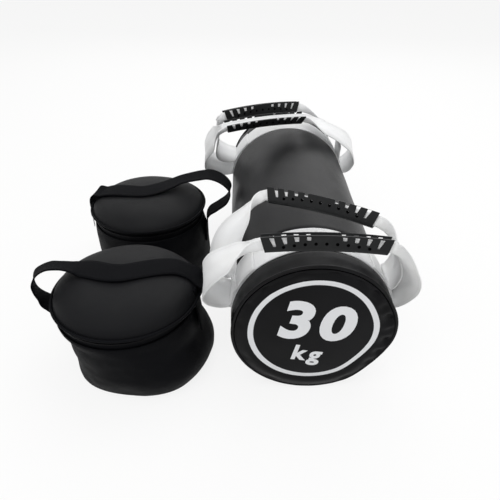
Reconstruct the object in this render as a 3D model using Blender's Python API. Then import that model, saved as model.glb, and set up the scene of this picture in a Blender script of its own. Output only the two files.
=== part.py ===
"""Sandbag trainer set: one long round bag with four carrying handles and two filler bags.

The long bag lies on the floor along Y.  A webbing band is sewn round it near each end, and two
webbing handles with moulded grips are sewn to each side of each band.  The far end opens with a
zip.  Two drum-shaped filler bags with zipped lids stand beside it.  The origin is on the floor
under the middle of the long bag, +Z is up and the marked end faces -Y.  Sizes are in metres.
"""

import math

import bmesh
import bpy
from mathutils import Matrix, Vector

# Long bag
BAG_RADIUS = 0.110
BAG_LENGTH = 0.540
BAG_SETTLE = 0.005
SETTLE_DEPTH = 0.015
SHELL_WALL = 0.003
SEAM_EASE = 0.0014
SEAM_REACH = 0.012
PIPING_RADIUS = 0.0025
END_WALL = 0.0018
END_DOME = 0.005
TURN_IN = 0.012
LINER_WALL = 0.006
BAG_STEPS = 48
DOME_SHARES = ((0.0, 1.0), (0.35, 0.94), (0.65, 0.72), (0.88, 0.34), (1.0, 0.0))

# Spaces between pieces
GAP = 0.0003
SOFT_GAP = 0.0005
CUT_OVERRUN = 0.010

# Sand bags inside the long bag
SAND_ROUND = 0.016
SAND_NECK_RADIUS = 0.016
SAND_NECK_LENGTH = 0.020
TIE_RADIUS = 0.0015
TIE_FLAT_SHARE = 0.7
SAND_STEPS = 24

# Webbing of the long bag
WEB_WIDTH = 0.050
WEB_THICKNESS = 0.0018
BAND_SETBACK = 0.062
BAND_RAMP = 0.004
PATCH_FACETS = 6
ROOT_WIDTH = 0.005
ROOT_LENGTH = 0.026
FOLD_LENGTH = 0.076

# Handle grips
GRIP_LENGTH = 0.153
GRIP_WALL = 0.0018
GRIP_CORE_RADIUS = 0.0046
FLANGE_HEIGHT = 0.016
GRIP_ARCH = 0.004
END_SLANT = 0.006
WINDOW_START_SHARE = 0.134
WINDOW_PITCH_SHARE = 0.0935
WINDOW_EDGE = 0.0026
WINDOW_SIZES = (
    (0.0050, 0.0046, 0.0000, 0.0050),
    (0.0058, 0.0060, 0.0010, 0.0046),
    (0.0060, 0.0085, 0.0022, 0.0034),
    (0.0056, 0.0112, 0.0042, 0.0032),
)
HOLE_COUNT = 9
HOLE_PITCH_SHARE = 0.0804
HOLE_RADIUS = 0.0020
HOLE_HEIGHT = 0.0050
HOLE_DROP = 0.0035
HOLE_SIDES = 6
WEB_INSET = 0.0020
WEB_LIFT = 0.0006
STRAP_SHARES = (-0.75, -0.5, -0.25, 0.0, 0.25, 0.5, 0.75)

# Where each handle's webbing leaves the bag, above the bag's axis
LOW_ROOT_RISE = 0.020
HIGH_ROOT_RISE = 0.046
LOW_ROOT_REACH = 0.0029
HIGH_ROOT_REACH = 0.0039

# Name, end of the bag, root height, root reach, grip place, yaw, roll, spread, bulge left and right.
# A grip's place is across the bag, outward from its band and above the bag's top.  A bulge is how
# far the webbing swings out past the bag's side.
HANDLES = (
    ("near_front", -1, LOW_ROOT_RISE, LOW_ROOT_REACH, (0.003, 0.0679, 0.0324), -3.0, 15.0, 6.0,
     0.036, 0.022),
    ("near_back", -1, HIGH_ROOT_RISE, HIGH_ROOT_REACH, (0.0075, -0.0156, 0.0350), -27.7, 45.0, 20.0,
     0.020, 0.003),
    ("far_front", 1, LOW_ROOT_RISE, LOW_ROOT_REACH, (-0.049, -0.0810, 0.0300), 18.0, -10.0, 20.0,
     0.054, 0.028),
    ("far_back", 1, HIGH_ROOT_RISE, HIGH_ROOT_REACH, (-0.053, -0.0275, 0.0320), 20.4, 15.0, 6.0,
     0.031, -0.006),
)
SIDE_SHARES = ((0.0, 0.0), (0.45, 0.03), (0.88, 0.14), (1.0, 0.33))
REACH_SHARES = ((0.80, 0.60), (0.35, 0.88))

# Zipped far end
ZIP_INSET = 0.022
ZIP_SLOT = 0.0012
PANEL_SHARES = (0.0, 0.42, 0.78, 1.0)
ZIP_ROW_WIDTH = 0.0022
ZIP_ROW_HEIGHT = 0.0014
HINGE_FACETS = 10
ZIP_TAIL_FACETS = 2
FOLD_PROUD = 0.0010
SLIDER_LENGTH = 0.011
SLIDER_WIDTH = 0.008
SLIDER_HEIGHT = 0.0028
SLIDER_NOSE_SHARE = 0.6
SLIDER_TOP_SHARE = 0.82
BAIL_LENGTH = 0.006
BAIL_WIDTH = 0.0024
BAIL_HEIGHT = 0.0034
BAIL_WIRE = 0.0012
PULL_LENGTH = 0.024
PULL_WIDTH = 0.0075
PULL_THICKNESS = 0.0011
PULL_RIM = 0.0012
PULL_SLOT = 0.0040
PULL_TAPER_SHARE = 0.8
PULL_SLOT_WIDTH = 0.0036

# Filler bags: name, clear space beside the long bag and place along it, slider and strap bearings
FILLER_PLACES = (
    ("front", (0.0490, -0.2020), 72.0, 180.0, 0.0),
    ("rear", (0.0500, 0.0460), 191.25, 168.75, 0.0),
)
FILLER_STEPS = 32
FILLER_RADIUS = 0.1000
FILLER_TOP = 0.106
FILLER_WALL = 0.0020
FILLER_PIPING = 0.0021
FILLER_LEAN = (0.007, 0.006)
BODY_SHARES = ((0.0, 0.965), (0.14, 0.992), (0.42, 1.012), (0.74, 0.992), (1.0, 0.962))
LID_OVERHANG = 0.0020
LID_RISE = 0.0210
LID_DOME = 0.0280
LID_WALL = 0.0016
LID_SHARES = ((0.0, 1.0), (0.30, 0.985), (0.58, 0.90), (0.80, 0.70), (0.93, 0.38), (1.0, 0.0))
TAPE_WALL = 0.0012
TAPE_LAP = 0.008
FILLER_ZIP_RISE = 0.0090
FILLER_ZIP_BAND = 0.0032
FILLER_ZIP_DEPTH = 0.0020
CHAIN_FACE_SHARE = 0.6
FILLER_WEB_WIDTH = 0.038
FILLER_WEB_THICKNESS = 0.0022
FILLER_PATCH_DROP = 0.006
FILLER_PATCH_LENGTH = 0.042
POUCH_ROUND = 0.012
POUCH_HEAD = 0.012

# Routes of the filler straps, from the left root over the lid to the right root: across and along
# as shares of the filler bag's radius, and up as a share of the height of its lid's seam
FRONT_ROUTE_SHARES = (
    (-1.012, 0.000, 0.6772), (-1.030, 0.000, 0.7874), (-1.120, 0.000, 0.8540), (-1.200, 0.000, 0.9450),
    (-1.238, 0.000, 1.0551), (-1.222, 0.015, 1.1653), (-1.130, 0.045, 1.2480), (-1.000, 0.080, 1.2874),
    (-0.860, 0.115, 1.2717), (-0.720, 0.140, 1.2402), (-0.580, 0.140, 1.2230), (-0.400, 0.080, 1.2345),
    (-0.200, 0.010, 1.2440), (0.000, -0.005, 1.2470), (0.180, 0.040, 1.2450), (0.400, 0.110, 1.2345),
    (0.600, 0.165, 1.2130), (0.760, 0.190, 1.1811), (0.900, 0.160, 1.1339), (0.990, 0.100, 1.0787),
    (1.045, 0.050, 1.0000), (1.052, 0.010, 0.8819), (1.045, 0.000, 0.7795), (1.038, 0.000, 0.6772),
)
REAR_ROUTE_SHARES = (
    (-0.993, 0.211, 0.6772), (-1.010, 0.207, 0.7795), (-1.032, 0.207, 0.8819), (-1.036, 0.209, 1.0080),
    (-0.985, 0.205, 1.0984), (-0.860, 0.180, 1.1654), (-0.700, 0.130, 1.2090), (-0.530, 0.065, 1.2300),
    (-0.300, -0.010, 1.2430), (-0.080, -0.040, 1.2480), (0.130, 0.040, 1.2480), (0.340, 0.160, 1.2480),
    (0.540, 0.260, 1.2600), (0.740, 0.265, 1.3000), (0.930, 0.205, 1.3512), (1.113, 0.150, 1.3835),
    (1.291, 0.100, 1.3496), (1.425, 0.060, 1.2709), (1.470, 0.030, 1.1772), (1.400, 0.000, 1.0551),
    (1.245, 0.000, 0.9567), (1.120, 0.000, 0.8819), (1.062, 0.000, 0.8110), (1.042, 0.000, 0.7402),
    (1.038, 0.000, 0.6614),
)

# Values worked out from the sizes above
AXIS_HEIGHT = BAG_RADIUS - BAG_SETTLE
HALF_LENGTH = BAG_LENGTH / 2
FULL_TURN = 2 * math.pi
PIPING_DEPTH = 2 * PIPING_RADIUS
SHELL_INNER = BAG_RADIUS - SHELL_WALL
NECK_RADIUS = BAG_RADIUS - PIPING_DEPTH - GAP
FLANGE_RADIUS = SHELL_INNER - GAP
FLANGE_INNER = FLANGE_RADIUS - END_WALL
SHELL_HALF = HALF_LENGTH - PIPING_DEPTH - GAP
FLANGE_HALF = HALF_LENGTH - PIPING_DEPTH - GAP - TURN_IN
LINER_OUTER = SHELL_INNER - SOFT_GAP
LINER_INNER = LINER_OUTER - LINER_WALL
SAND_RADIUS = LINER_INNER - SOFT_GAP
BAND_INNER = BAG_RADIUS - WEB_THICKNESS
BAND_SEAT = BAND_INNER - GAP
BAND_PLACE = HALF_LENGTH - BAND_SETBACK
BAND_HALF = WEB_WIDTH / 2
BAG_TOP = AXIS_HEIGHT + BAG_RADIUS
SHARP_ANGLE = math.radians(35.0)
FACET_ANGLE = FULL_TURN / BAG_STEPS
ZIP_RADIUS = BAG_RADIUS - ZIP_INSET
CHORD_DROP = ZIP_RADIUS * math.cos(HINGE_FACETS * FACET_ANGLE / 2)
LID_RADIUS = FILLER_RADIUS + LID_OVERHANG
LID_SEAM = FILLER_TOP + LID_RISE
FILLER_ZIP_HEIGHT = FILLER_TOP + FILLER_ZIP_RISE
FILLER_PATCH_HIGH = FILLER_TOP - FILLER_PATCH_DROP
FILLER_PATCH_LOW = FILLER_PATCH_HIGH - FILLER_PATCH_LENGTH


def clear_scene():
    for item in list(bpy.data.objects):
        bpy.data.objects.remove(item, do_unlink=True)


def look(name, colour, roughness, metallic=0.0):
    """A material with one Principled BSDF."""
    material = bpy.data.materials.new(name)
    material.use_nodes = True
    shader = material.node_tree.nodes["Principled BSDF"]
    shader.inputs["Base Color"].default_value = (*colour, 1.0)
    shader.inputs["Roughness"].default_value = roughness
    shader.inputs["Metallic"].default_value = metallic
    material.diffuse_color = (*colour, 1.0)
    return material


def black_leather(name):
    return look(name, (0.018, 0.018, 0.020), 0.42)


def black_cloth(name):
    return look(name, (0.022, 0.024, 0.030), 0.80)


def white_webbing(name):
    return look(name, (0.82, 0.83, 0.84), 0.75)


def black_plastic(name):
    return look(name, (0.020, 0.021, 0.023), 0.50)


def grey_foam(name):
    return look(name, (0.30, 0.30, 0.31), 0.90)


def sand_sack(name):
    return look(name, (0.62, 0.56, 0.44), 0.85)


def zip_metal(name):
    return look(name, (0.60, 0.60, 0.62), 0.32, 1.0)


def pivot(name, place, parent=None):
    """An empty that carries one body, with its origin on the body's joint axis."""
    empty = bpy.data.objects.new(name, None)
    bpy.context.scene.collection.objects.link(empty)
    empty.location = Vector(place)
    if parent is not None:
        empty.parent = parent
        empty.location = Vector(place) - parent.matrix_world.translation
    bpy.context.view_layer.update()
    return empty


def finish(name, bm, material, carrier):
    """Make one object from a bmesh in world coordinates, hung on its carrier."""
    bmesh.ops.recalc_face_normals(bm, faces=bm.faces)
    origin = carrier.matrix_world.translation
    bmesh.ops.translate(bm, verts=bm.verts, vec=-origin)
    mesh = bpy.data.meshes.new(name)
    bm.to_mesh(mesh)
    bm.free()
    mesh.shade_smooth()
    mesh.set_sharp_from_angle(angle=SHARP_ANGLE)
    mesh.materials.append(material)
    piece = bpy.data.objects.new(name, mesh)
    bpy.context.scene.collection.objects.link(piece)
    piece.parent = carrier
    return piece


def cutter(name, bm, carrier):
    """A hidden solid for a Boolean."""
    piece = finish(name, bm, look(name + "_look", (0.8, 0.2, 0.2), 0.5), carrier)
    piece.hide_render = True
    piece.display_type = "WIRE"
    return piece


def cut(piece, tool):
    modifier = piece.modifiers.new("cut_" + tool.name, "BOOLEAN")
    modifier.operation = "DIFFERENCE"
    modifier.solver = "EXACT"
    modifier.object = tool


def loft(bm, rings, closed=False):
    """Join equal rings of points in order; the ends are capped unless the rings close on themselves."""
    rows = [[bm.verts.new(point) for point in ring] for ring in rings]
    pairs = list(zip(rows, rows[1:]))
    if closed:
        pairs.append((rows[-1], rows[0]))
    for low, high in pairs:
        count = len(low)
        for index in range(count):
            following = (index + 1) % count
            bm.faces.new((low[index], low[following], high[following], high[index]))
    if not closed:
        bm.faces.new(list(reversed(rows[0])))
        bm.faces.new(rows[-1])


def turned(outline, steps, axis, closed):
    """Spin an outline of (radius, along) points once round Y or Z through the origin."""
    bm = bmesh.new()
    points = []
    for radius, along in outline:
        place = (radius, along, 0.0) if axis == "Y" else (radius, 0.0, along)
        points.append(bm.verts.new(place))
    edges = [bm.edges.new(pair) for pair in zip(points, points[1:])]
    if closed:
        edges.append(bm.edges.new((points[-1], points[0])))
    direction = (0.0, 1.0, 0.0) if axis == "Y" else (0.0, 0.0, 1.0)
    bmesh.ops.spin(bm, geom=points + edges, cent=(0.0, 0.0, 0.0), axis=direction,
                   angle=FULL_TURN, steps=steps, use_merge=True)
    bmesh.ops.remove_doubles(bm, verts=bm.verts, dist=GAP / 100)
    return bm


def settle_share(radius):
    """How much of the flattening a layer at this radius takes: all near the skin, none deep inside."""
    full = BAG_RADIUS - BAG_SETTLE
    return min(1.0, max(0.0, (radius - full + SETTLE_DEPTH) / SETTLE_DEPTH))


def settle(bm):
    """Lift a bag piece to its height and press its underside flat on the floor."""
    for vertex in bm.verts:
        radius = math.hypot(vertex.co.x, vertex.co.z)
        floor = AXIS_HEIGHT - radius + BAG_SETTLE * settle_share(radius)
        vertex.co.z = max(vertex.co.z + AXIS_HEIGHT, floor)


def bag_piece(name, outline, material, carrier, steps=BAG_STEPS, closed=True):
    bm = turned(outline, steps, "Y", closed)
    settle(bm)
    return finish(name, bm, material, carrier)


def dome_at(radius, rim, height, shares):
    """Height of a domed disc above its rim at a distance from its centre."""
    share = min(1.0, radius / rim)
    for (low, first), (high, last) in zip(shares, shares[1:]):
        if share <= high:
            return height * (first + (last - first) * (share - low) / (high - low))
    return 0.0


def main_shell(carrier):
    """The sewn tube, drawn in under each band and at each end seam."""
    edges = []
    for side in (-1, 1):
        inner = side * (BAND_PLACE - BAND_HALF)
        outer = side * (BAND_PLACE + BAND_HALF)
        steps = [
            (BAG_RADIUS, inner - side * (BAND_RAMP + GAP)),
            (BAND_SEAT, inner - side * GAP),
            (BAND_SEAT, outer + side * GAP),
            (BAG_RADIUS, outer + side * (BAND_RAMP + GAP)),
        ]
        ends = [
            (BAG_RADIUS, side * (SHELL_HALF - SEAM_REACH)),
            (BAG_RADIUS - SEAM_EASE, side * SHELL_HALF),
        ]
        edges.append(steps + ends)
    outline = list(reversed(edges[0])) + edges[1]
    outline += [(SHELL_INNER, SHELL_HALF), (SHELL_INNER, -SHELL_HALF)]
    bag_piece("main_shell", outline, black_leather("main_shell"), carrier)


def end_outline(side):
    """A domed end with its sewn edge turned in behind the piping, from the axis out and back."""
    seat = HALF_LENGTH - PIPING_DEPTH - GAP
    outer = [(share * NECK_RADIUS, HALF_LENGTH + END_DOME * height) for share, height in DOME_SHARES]
    inner_neck = NECK_RADIUS - END_WALL
    inner = [(share * inner_neck, HALF_LENGTH - END_WALL + END_DOME * height)
             for share, height in reversed(DOME_SHARES)]
    lip = [
        (NECK_RADIUS, seat), (FLANGE_RADIUS, seat), (FLANGE_RADIUS, seat - TURN_IN),
        (FLANGE_INNER, seat - TURN_IN), (FLANGE_INNER, seat - END_WALL), (inner_neck, seat - END_WALL),
    ]
    return [(radius, side * along) for radius, along in outer + lip + inner]


def end_piping(name, side, carrier):
    """The cord piping sewn between the tube and an end."""
    outline = []
    for index in range(6):
        angle = FULL_TURN * index / 6
        outline.append((BAG_RADIUS - PIPING_RADIUS + PIPING_RADIUS * math.cos(angle),
                        side * (HALF_LENGTH - PIPING_RADIUS) + PIPING_RADIUS * math.sin(angle)))
    bag_piece(name, outline, black_leather(name), carrier)


def near_end(carrier):
    bag_piece("near_end_disc", end_outline(-1), black_leather("near_end_disc"), carrier, closed=False)
    end_piping("near_end_piping", -1, carrier)


def prism(bm, outline, low, high):
    """A straight solid along Y over an outline of (x, z) points."""
    rings = [[Vector((x, along, z)) for x, z in outline] for along in (low, high)]
    loft(bm, rings)


def flap_outline(radius, chord):
    """The D shape of the flap or of its opening, flat side down, about the bag's axis."""
    start = -math.pi / 2 + HINGE_FACETS * FACET_ANGLE / 2
    facets = BAG_STEPS - HINGE_FACETS
    points = []
    for index in range(facets + 1):
        angle = start + index * FACET_ANGLE
        x = radius * math.cos(angle)
        z = max(radius * math.sin(angle), -chord)
        points.append((x, AXIS_HEIGHT + z))
    return points


def far_end(carrier, flap_carrier):
    """The far end: a sewn rim with a D-shaped opening, and a zipped flap that fills it."""
    rim = bag_piece("far_end_rim", end_outline(1), black_leather("far_end_rim"), carrier, closed=False)
    hole = bmesh.new()
    depth = HALF_LENGTH - END_WALL - CUT_OVERRUN
    prism(hole, flap_outline(ZIP_RADIUS, CHORD_DROP), depth, HALF_LENGTH + END_DOME + CUT_OVERRUN)
    cut(rim, cutter("far_opening_cutter", hole, carrier))
    end_piping("far_end_piping", 1, carrier)

    panel = ZIP_RADIUS - ZIP_SLOT
    top = [(share * panel, HALF_LENGTH + dome_at(share * panel, NECK_RADIUS, END_DOME, DOME_SHARES))
           for share in PANEL_SHARES]
    under = [(radius, along - END_WALL) for radius, along in reversed(top)]
    bm = turned(top + under, BAG_STEPS, "Y", False)
    for vertex in bm.verts:
        vertex.co.z += AXIS_HEIGHT
    flap = finish("far_flap", bm, black_leather("far_flap"), flap_carrier)
    spare = bmesh.new()
    edge = AXIS_HEIGHT - CHORD_DROP + ZIP_SLOT
    span = ZIP_RADIUS + CUT_OVERRUN
    low = AXIS_HEIGHT - span
    prism(spare, [(-span, low), (span, low), (span, edge), (-span, edge)], depth,
          HALF_LENGTH + END_DOME + CUT_OVERRUN)
    cut(flap, cutter("flap_edge_cutter", spare, flap_carrier))


def add_arc_row(bm, inner, outer, lift, first, last):
    """A raised row of teeth on the domed end, between two facets counted from the opening's start."""
    start = -math.pi / 2 + HINGE_FACETS * FACET_ANGLE / 2
    low = HALF_LENGTH + dome_at(inner, NECK_RADIUS, END_DOME, DOME_SHARES) + GAP
    rings = []
    for index in range(first, last + 1):
        angle = start + index * FACET_ANGLE
        ring = []
        for radius, along in ((inner, low), (outer, low), (outer, low + lift), (inner, low + lift)):
            ring.append(Vector((radius * math.cos(angle), along, AXIS_HEIGHT + radius * math.sin(angle))))
        rings.append(ring)
    loft(bm, rings)


def block(bm, size, place, turn):
    """A box of three sizes, turned by a matrix and moved to a place."""
    made = bmesh.ops.create_cube(bm, size=1.0)
    scale = Matrix.Diagonal((*size, 1.0))
    bmesh.ops.transform(bm, matrix=Matrix.Translation(place) @ turn @ scale, verts=made["verts"])


def zip_slider(name, place, out, along, hang, carrier):
    """A slider with its bail: it faces out, runs along, and its pull hangs the third way."""
    turn = Matrix((along, out.cross(along), out)).transposed().to_4x4()
    arch = Matrix((hang, out.cross(hang), out)).transposed().to_4x4()
    bm = bmesh.new()
    half = SLIDER_LENGTH / 2
    wide = SLIDER_WIDTH / 2
    nose = wide * SLIDER_NOSE_SHARE
    waist = SLIDER_HEIGHT * SLIDER_NOSE_SHARE
    ring_low = [(-half, -nose), (half, -wide), (half, wide), (-half, nose)]
    ring_high = [(x * SLIDER_TOP_SHARE, y * SLIDER_TOP_SHARE) for x, y in ring_low]
    rings = []
    for height, ring in ((0.0, ring_low), (waist, ring_low), (SLIDER_HEIGHT, ring_high)):
        rings.append([place + turn @ Vector((x, y, height)) for x, y in ring])
    loft(bm, rings)
    body = finish(name, bm, zip_metal(name), carrier)
    bail = bmesh.new()
    reach = BAIL_LENGTH / 2
    inner = reach - BAIL_WIRE
    top = SLIDER_HEIGHT + BAIL_HEIGHT
    sink = waist
    outline = [(-reach, sink), (-reach, top - BAIL_WIRE), (-inner, top), (inner, top),
               (reach, top - BAIL_WIRE), (reach, sink), (inner, sink), (inner, top - BAIL_WIRE),
               (-inner, top - BAIL_WIRE), (-inner, sink)]
    rings = []
    for side in (-1, 1):
        rings.append([place + arch @ Vector((x, side * BAIL_WIDTH / 2, z)) for x, z in outline])
    loft(bail, rings)
    tool = cutter(name + "_bail_tool", bail, carrier)
    union = body.modifiers.new("bail", "BOOLEAN")
    union.operation = "UNION"
    union.solver = "EXACT"
    union.object = tool


def zip_pull(name, place, out, down, carrier):
    """The pull tab: its slot goes round the bail and it hangs the way down points."""
    turn = Matrix((down, out.cross(down), out)).transposed().to_4x4()
    bm = bmesh.new()
    back = PULL_RIM / 2
    tip = PULL_LENGTH - back
    half = PULL_WIDTH / 2
    corner = PULL_RIM
    slim = half * PULL_TAPER_SHARE
    outline = [(-back, -half + corner), (-back + corner, -half), (tip - corner, -slim),
               (tip, -slim + corner), (tip, slim - corner), (tip - corner, slim),
               (-back + corner, half), (-back, half - corner)]
    rings = []
    for height in (-PULL_THICKNESS / 2, PULL_THICKNESS / 2):
        rings.append([place + turn @ Vector((x, y, height)) for x, y in outline])
    loft(bm, rings)
    tab = finish(name, bm, zip_metal(name), carrier)
    window = bmesh.new()
    size = (PULL_SLOT, PULL_SLOT_WIDTH, PULL_THICKNESS + 2 * GAP)
    block(window, size, place + down * (back + PULL_SLOT / 2), turn)
    cut(tab, cutter(name + "_slot_cutter", window, carrier))


def far_zip(carrier, flap_carrier, slider_carrier, pull_carrier):
    outside = ZIP_RADIUS + GAP / 2
    inside_edge = ZIP_RADIUS - GAP / 2
    facets = BAG_STEPS - HINGE_FACETS
    end = facets + ZIP_TAIL_FACETS
    outer = bmesh.new()
    add_arc_row(outer, outside, outside + ZIP_ROW_WIDTH, ZIP_ROW_HEIGHT, 0, end + 1)
    finish("far_zip_outer_row", outer, black_plastic("far_zip_outer_row"), carrier)
    tail = bmesh.new()
    add_arc_row(tail, inside_edge - ZIP_ROW_WIDTH, inside_edge, ZIP_ROW_HEIGHT, facets + 1, end + 1)
    finish("far_zip_tail", tail, black_plastic("far_zip_tail"), carrier)
    inner = bmesh.new()
    add_arc_row(inner, inside_edge - ZIP_ROW_WIDTH, inside_edge, ZIP_ROW_HEIGHT, 0, facets)
    finish("far_zip_inner_row", inner, black_plastic("far_zip_inner_row"), flap_carrier)
    place, out, along = far_slider_frame()
    zip_slider("far_zip_slider", place, out, along, along, slider_carrier)
    zip_pull("far_zip_pull", pull_place(place, out), out, along, pull_carrier)


def far_slider_frame():
    """Where the far slider rests: on the rim, just past the closed end of its zip."""
    angle = -math.pi / 2 - (HINGE_FACETS / 2 - ZIP_TAIL_FACETS) * FACET_ANGLE
    inner = ZIP_RADIUS - ZIP_ROW_WIDTH
    top = HALF_LENGTH + dome_at(inner, NECK_RADIUS, END_DOME, DOME_SHARES) + ZIP_ROW_HEIGHT + 2 * GAP
    place = Vector((ZIP_RADIUS * math.cos(angle), top, AXIS_HEIGHT + ZIP_RADIUS * math.sin(angle)))
    out = Vector((0.0, 1.0, 0.0))
    along = Vector((-math.sin(angle), 0.0, math.cos(angle)))
    return place, out, along


def pull_place(place, out):
    """The middle of the bail's opening, where a pull hangs."""
    return place + out * (SLIDER_HEIGHT + (BAIL_HEIGHT - BAIL_WIRE) / 2)


def inside(carrier):
    """Foam liner and the two tied sand bags that fill the long bag."""
    half = FLANGE_HALF - SOFT_GAP
    outline = [(LINER_OUTER, -half), (LINER_OUTER, half), (LINER_INNER, half), (LINER_INNER, -half)]
    bag_piece("foam_liner", outline, grey_foam("foam_liner"), carrier)
    head = HALF_LENGTH - END_WALL - SOFT_GAP
    neck = SAND_NECK_LENGTH
    spans = (("near_sand_bag", -head, 0.0 - SOFT_GAP), ("far_sand_bag", SOFT_GAP, head))
    for name, low, high in spans:
        shoulder = high - neck
        outline = [(0.0, low), (SAND_RADIUS - SAND_ROUND, low), (SAND_RADIUS, low + SAND_ROUND),
                   (SAND_RADIUS, shoulder - SAND_ROUND), (SAND_RADIUS - SAND_ROUND, shoulder),
                   (SAND_NECK_RADIUS - TIE_RADIUS, shoulder + TIE_RADIUS),
                   (SAND_NECK_RADIUS - TIE_RADIUS, shoulder + 3 * TIE_RADIUS + 2 * SOFT_GAP),
                   (SAND_NECK_RADIUS, high), (0.0, high)]
        bag_piece(name, outline, sand_sack(name), carrier, steps=SAND_STEPS, closed=False)
        ring = []
        for index in range(4):
            angle = FULL_TURN * index / 4
            ring.append((SAND_NECK_RADIUS + SOFT_GAP + TIE_RADIUS * math.cos(angle) * TIE_FLAT_SHARE,
                         shoulder + 2 * TIE_RADIUS + SOFT_GAP + TIE_RADIUS * math.sin(angle)))
        bag_piece(name + "_tie", ring, black_plastic(name + "_tie"), carrier, steps=SAND_STEPS)


def bands(carrier):
    """The two webbing bands and the sewn patches where the handles leave them."""
    for end, side in (("near", -1), ("far", 1)):
        low = side * BAND_PLACE - BAND_HALF
        high = side * BAND_PLACE + BAND_HALF
        name = end + "_band"
        outline = [(BAND_INNER, low), (BAG_RADIUS, low), (BAG_RADIUS, high), (BAND_INNER, high)]
        bag_piece(name, outline, white_webbing(name), carrier)
        for hand, start in (("left", math.pi - PATCH_FACETS * FACET_ANGLE), ("right", 0.0)):
            name = end + "_" + hand + "_patch"
            rings = []
            for index in range(PATCH_FACETS + 1):
                angle = start + index * FACET_ANGLE
                ring = []
                for lift, along in ((GAP, low), (GAP, high), (GAP + WEB_THICKNESS, high),
                                    (GAP + WEB_THICKNESS, low)):
                    radius = BAG_RADIUS + lift
                    ring.append(Vector((radius * math.cos(angle), along,
                                        AXIS_HEIGHT + radius * math.sin(angle))))
                rings.append(ring)
            bm = bmesh.new()
            loft(bm, rings)
            finish(name, bm, white_webbing(name), carrier)


def channel(radius, leg, spread, segments):
    """The middle line of a U channel: left tip, round the core, right tip, as (across, up)."""
    lean = math.radians(spread)
    points = [(-radius * math.cos(lean) - leg * math.sin(lean),
               -radius * math.sin(lean) + leg * math.cos(lean))]
    first = -math.pi + lean
    sweep = math.pi - 2 * lean
    for index in range(segments + 1):
        angle = first + sweep * index / segments
        points.append((radius * math.cos(angle), radius * math.sin(angle)))
    points.append((-points[0][0], points[0][1]))
    return points


def thicken(line, thickness):
    """A closed outline of even thickness about an open line of (across, up) points."""
    sides = ([], [])
    count = len(line)
    for index, (across, up) in enumerate(line):
        before = line[max(index - 1, 0)]
        after = line[min(index + 1, count - 1)]
        first = Vector((across - before[0], up - before[1]))
        second = Vector((after[0] - across, after[1] - up))
        first = first.normalized() if first.length > 0 else second.normalized()
        second = second.normalized() if second.length > 0 else first
        mean = (first + second).normalized()
        stretch = thickness / 2 / max(mean.dot(first), 0.5)
        normal = Vector((-mean.y, mean.x))
        for row, sign in zip(sides, (-1, 1)):
            row.append((across + sign * stretch * normal.x, up + sign * stretch * normal.y))
    return sides[0] + list(reversed(sides[1]))


def grip_frame(centre, yaw, roll):
    """Centre, length, width and opening directions of a grip."""
    turn = math.radians(yaw)
    tilt = math.radians(roll)
    length = Vector((math.cos(turn), math.sin(turn), 0.0))
    width = Vector((-math.sin(turn), math.cos(turn), 0.0))
    up = Vector((0.0, 0.0, 1.0))
    opening = math.cos(tilt) * up + math.sin(tilt) * width
    breadth = math.cos(tilt) * width - math.sin(tilt) * up
    return Vector(centre), length, breadth, opening


def arch_at(station):
    """How far a grip has bowed down at a distance from its middle."""
    return -GRIP_ARCH * (2 * station / GRIP_LENGTH) ** 2


def grip_point(frame, station, across, up):
    centre, length, breadth, opening = frame
    return centre + length * station + breadth * across + opening * (up + arch_at(station))


def grip(name, frame, spread, carrier):
    """A moulded channel sleeve with slanted ends, windows along its edges and a row of holes."""
    outline = thicken(channel(GRIP_CORE_RADIUS, FLANGE_HEIGHT, spread, 4), GRIP_WALL)
    half = GRIP_LENGTH / 2
    height = GRIP_CORE_RADIUS + FLANGE_HEIGHT
    stations = 8
    rings = []
    for index in range(stations + 1):
        station = -half + GRIP_LENGTH * index / stations
        ring = []
        for across, up in outline:
            slant = END_SLANT * (1.0 - (up + GRIP_CORE_RADIUS) / height)
            place = station
            if index in (0, stations):
                place = math.copysign(half - slant, station)
            ring.append(grip_point(frame, place, across, up))
        rings.append(ring)
    bm = bmesh.new()
    loft(bm, rings)
    sleeve = finish(name, bm, black_plastic(name), carrier)
    tools = bmesh.new()
    reach = GRIP_CORE_RADIUS + FLANGE_HEIGHT
    for outline in window_outlines() + hole_outlines():
        rings = []
        for across in (-reach, reach):
            rings.append([grip_point(frame, station, across, up) for station, up in outline])
        loft(tools, rings)
    cut(sleeve, cutter(name + "_window_cutter", tools, carrier))


def window_outlines():
    """Windows that grow and slant towards each end, as outlines of (station, up)."""
    top = FLANGE_HEIGHT - WINDOW_EDGE
    outlines = []
    for side in (-1, 1):
        for index, (width, depth, slant, foot) in enumerate(WINDOW_SIZES):
            middle = GRIP_LENGTH * (WINDOW_START_SHARE + index * WINDOW_PITCH_SHARE)
            corners = [
                (middle - width / 2, top), (middle + width / 2, top),
                (middle - slant + foot / 2, top - depth), (middle - slant - foot / 2, top - depth),
            ]
            outlines.append([(side * station, up) for station, up in corners])
    return outlines


def hole_outlines():
    """The row of round holes, lower towards the ends."""
    outlines = []
    half = (HOLE_COUNT - 1) / 2
    for index in range(HOLE_COUNT):
        share = (index - half) / half
        middle = GRIP_LENGTH * HOLE_PITCH_SHARE * (index - half)
        height = HOLE_HEIGHT - HOLE_DROP * share * share
        outline = []
        for corner in range(HOLE_SIDES):
            angle = FULL_TURN * corner / HOLE_SIDES
            outline.append((middle + HOLE_RADIUS * math.cos(angle),
                            height + HOLE_RADIUS * math.sin(angle)))
        outlines.append(outline)
    return outlines


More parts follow.
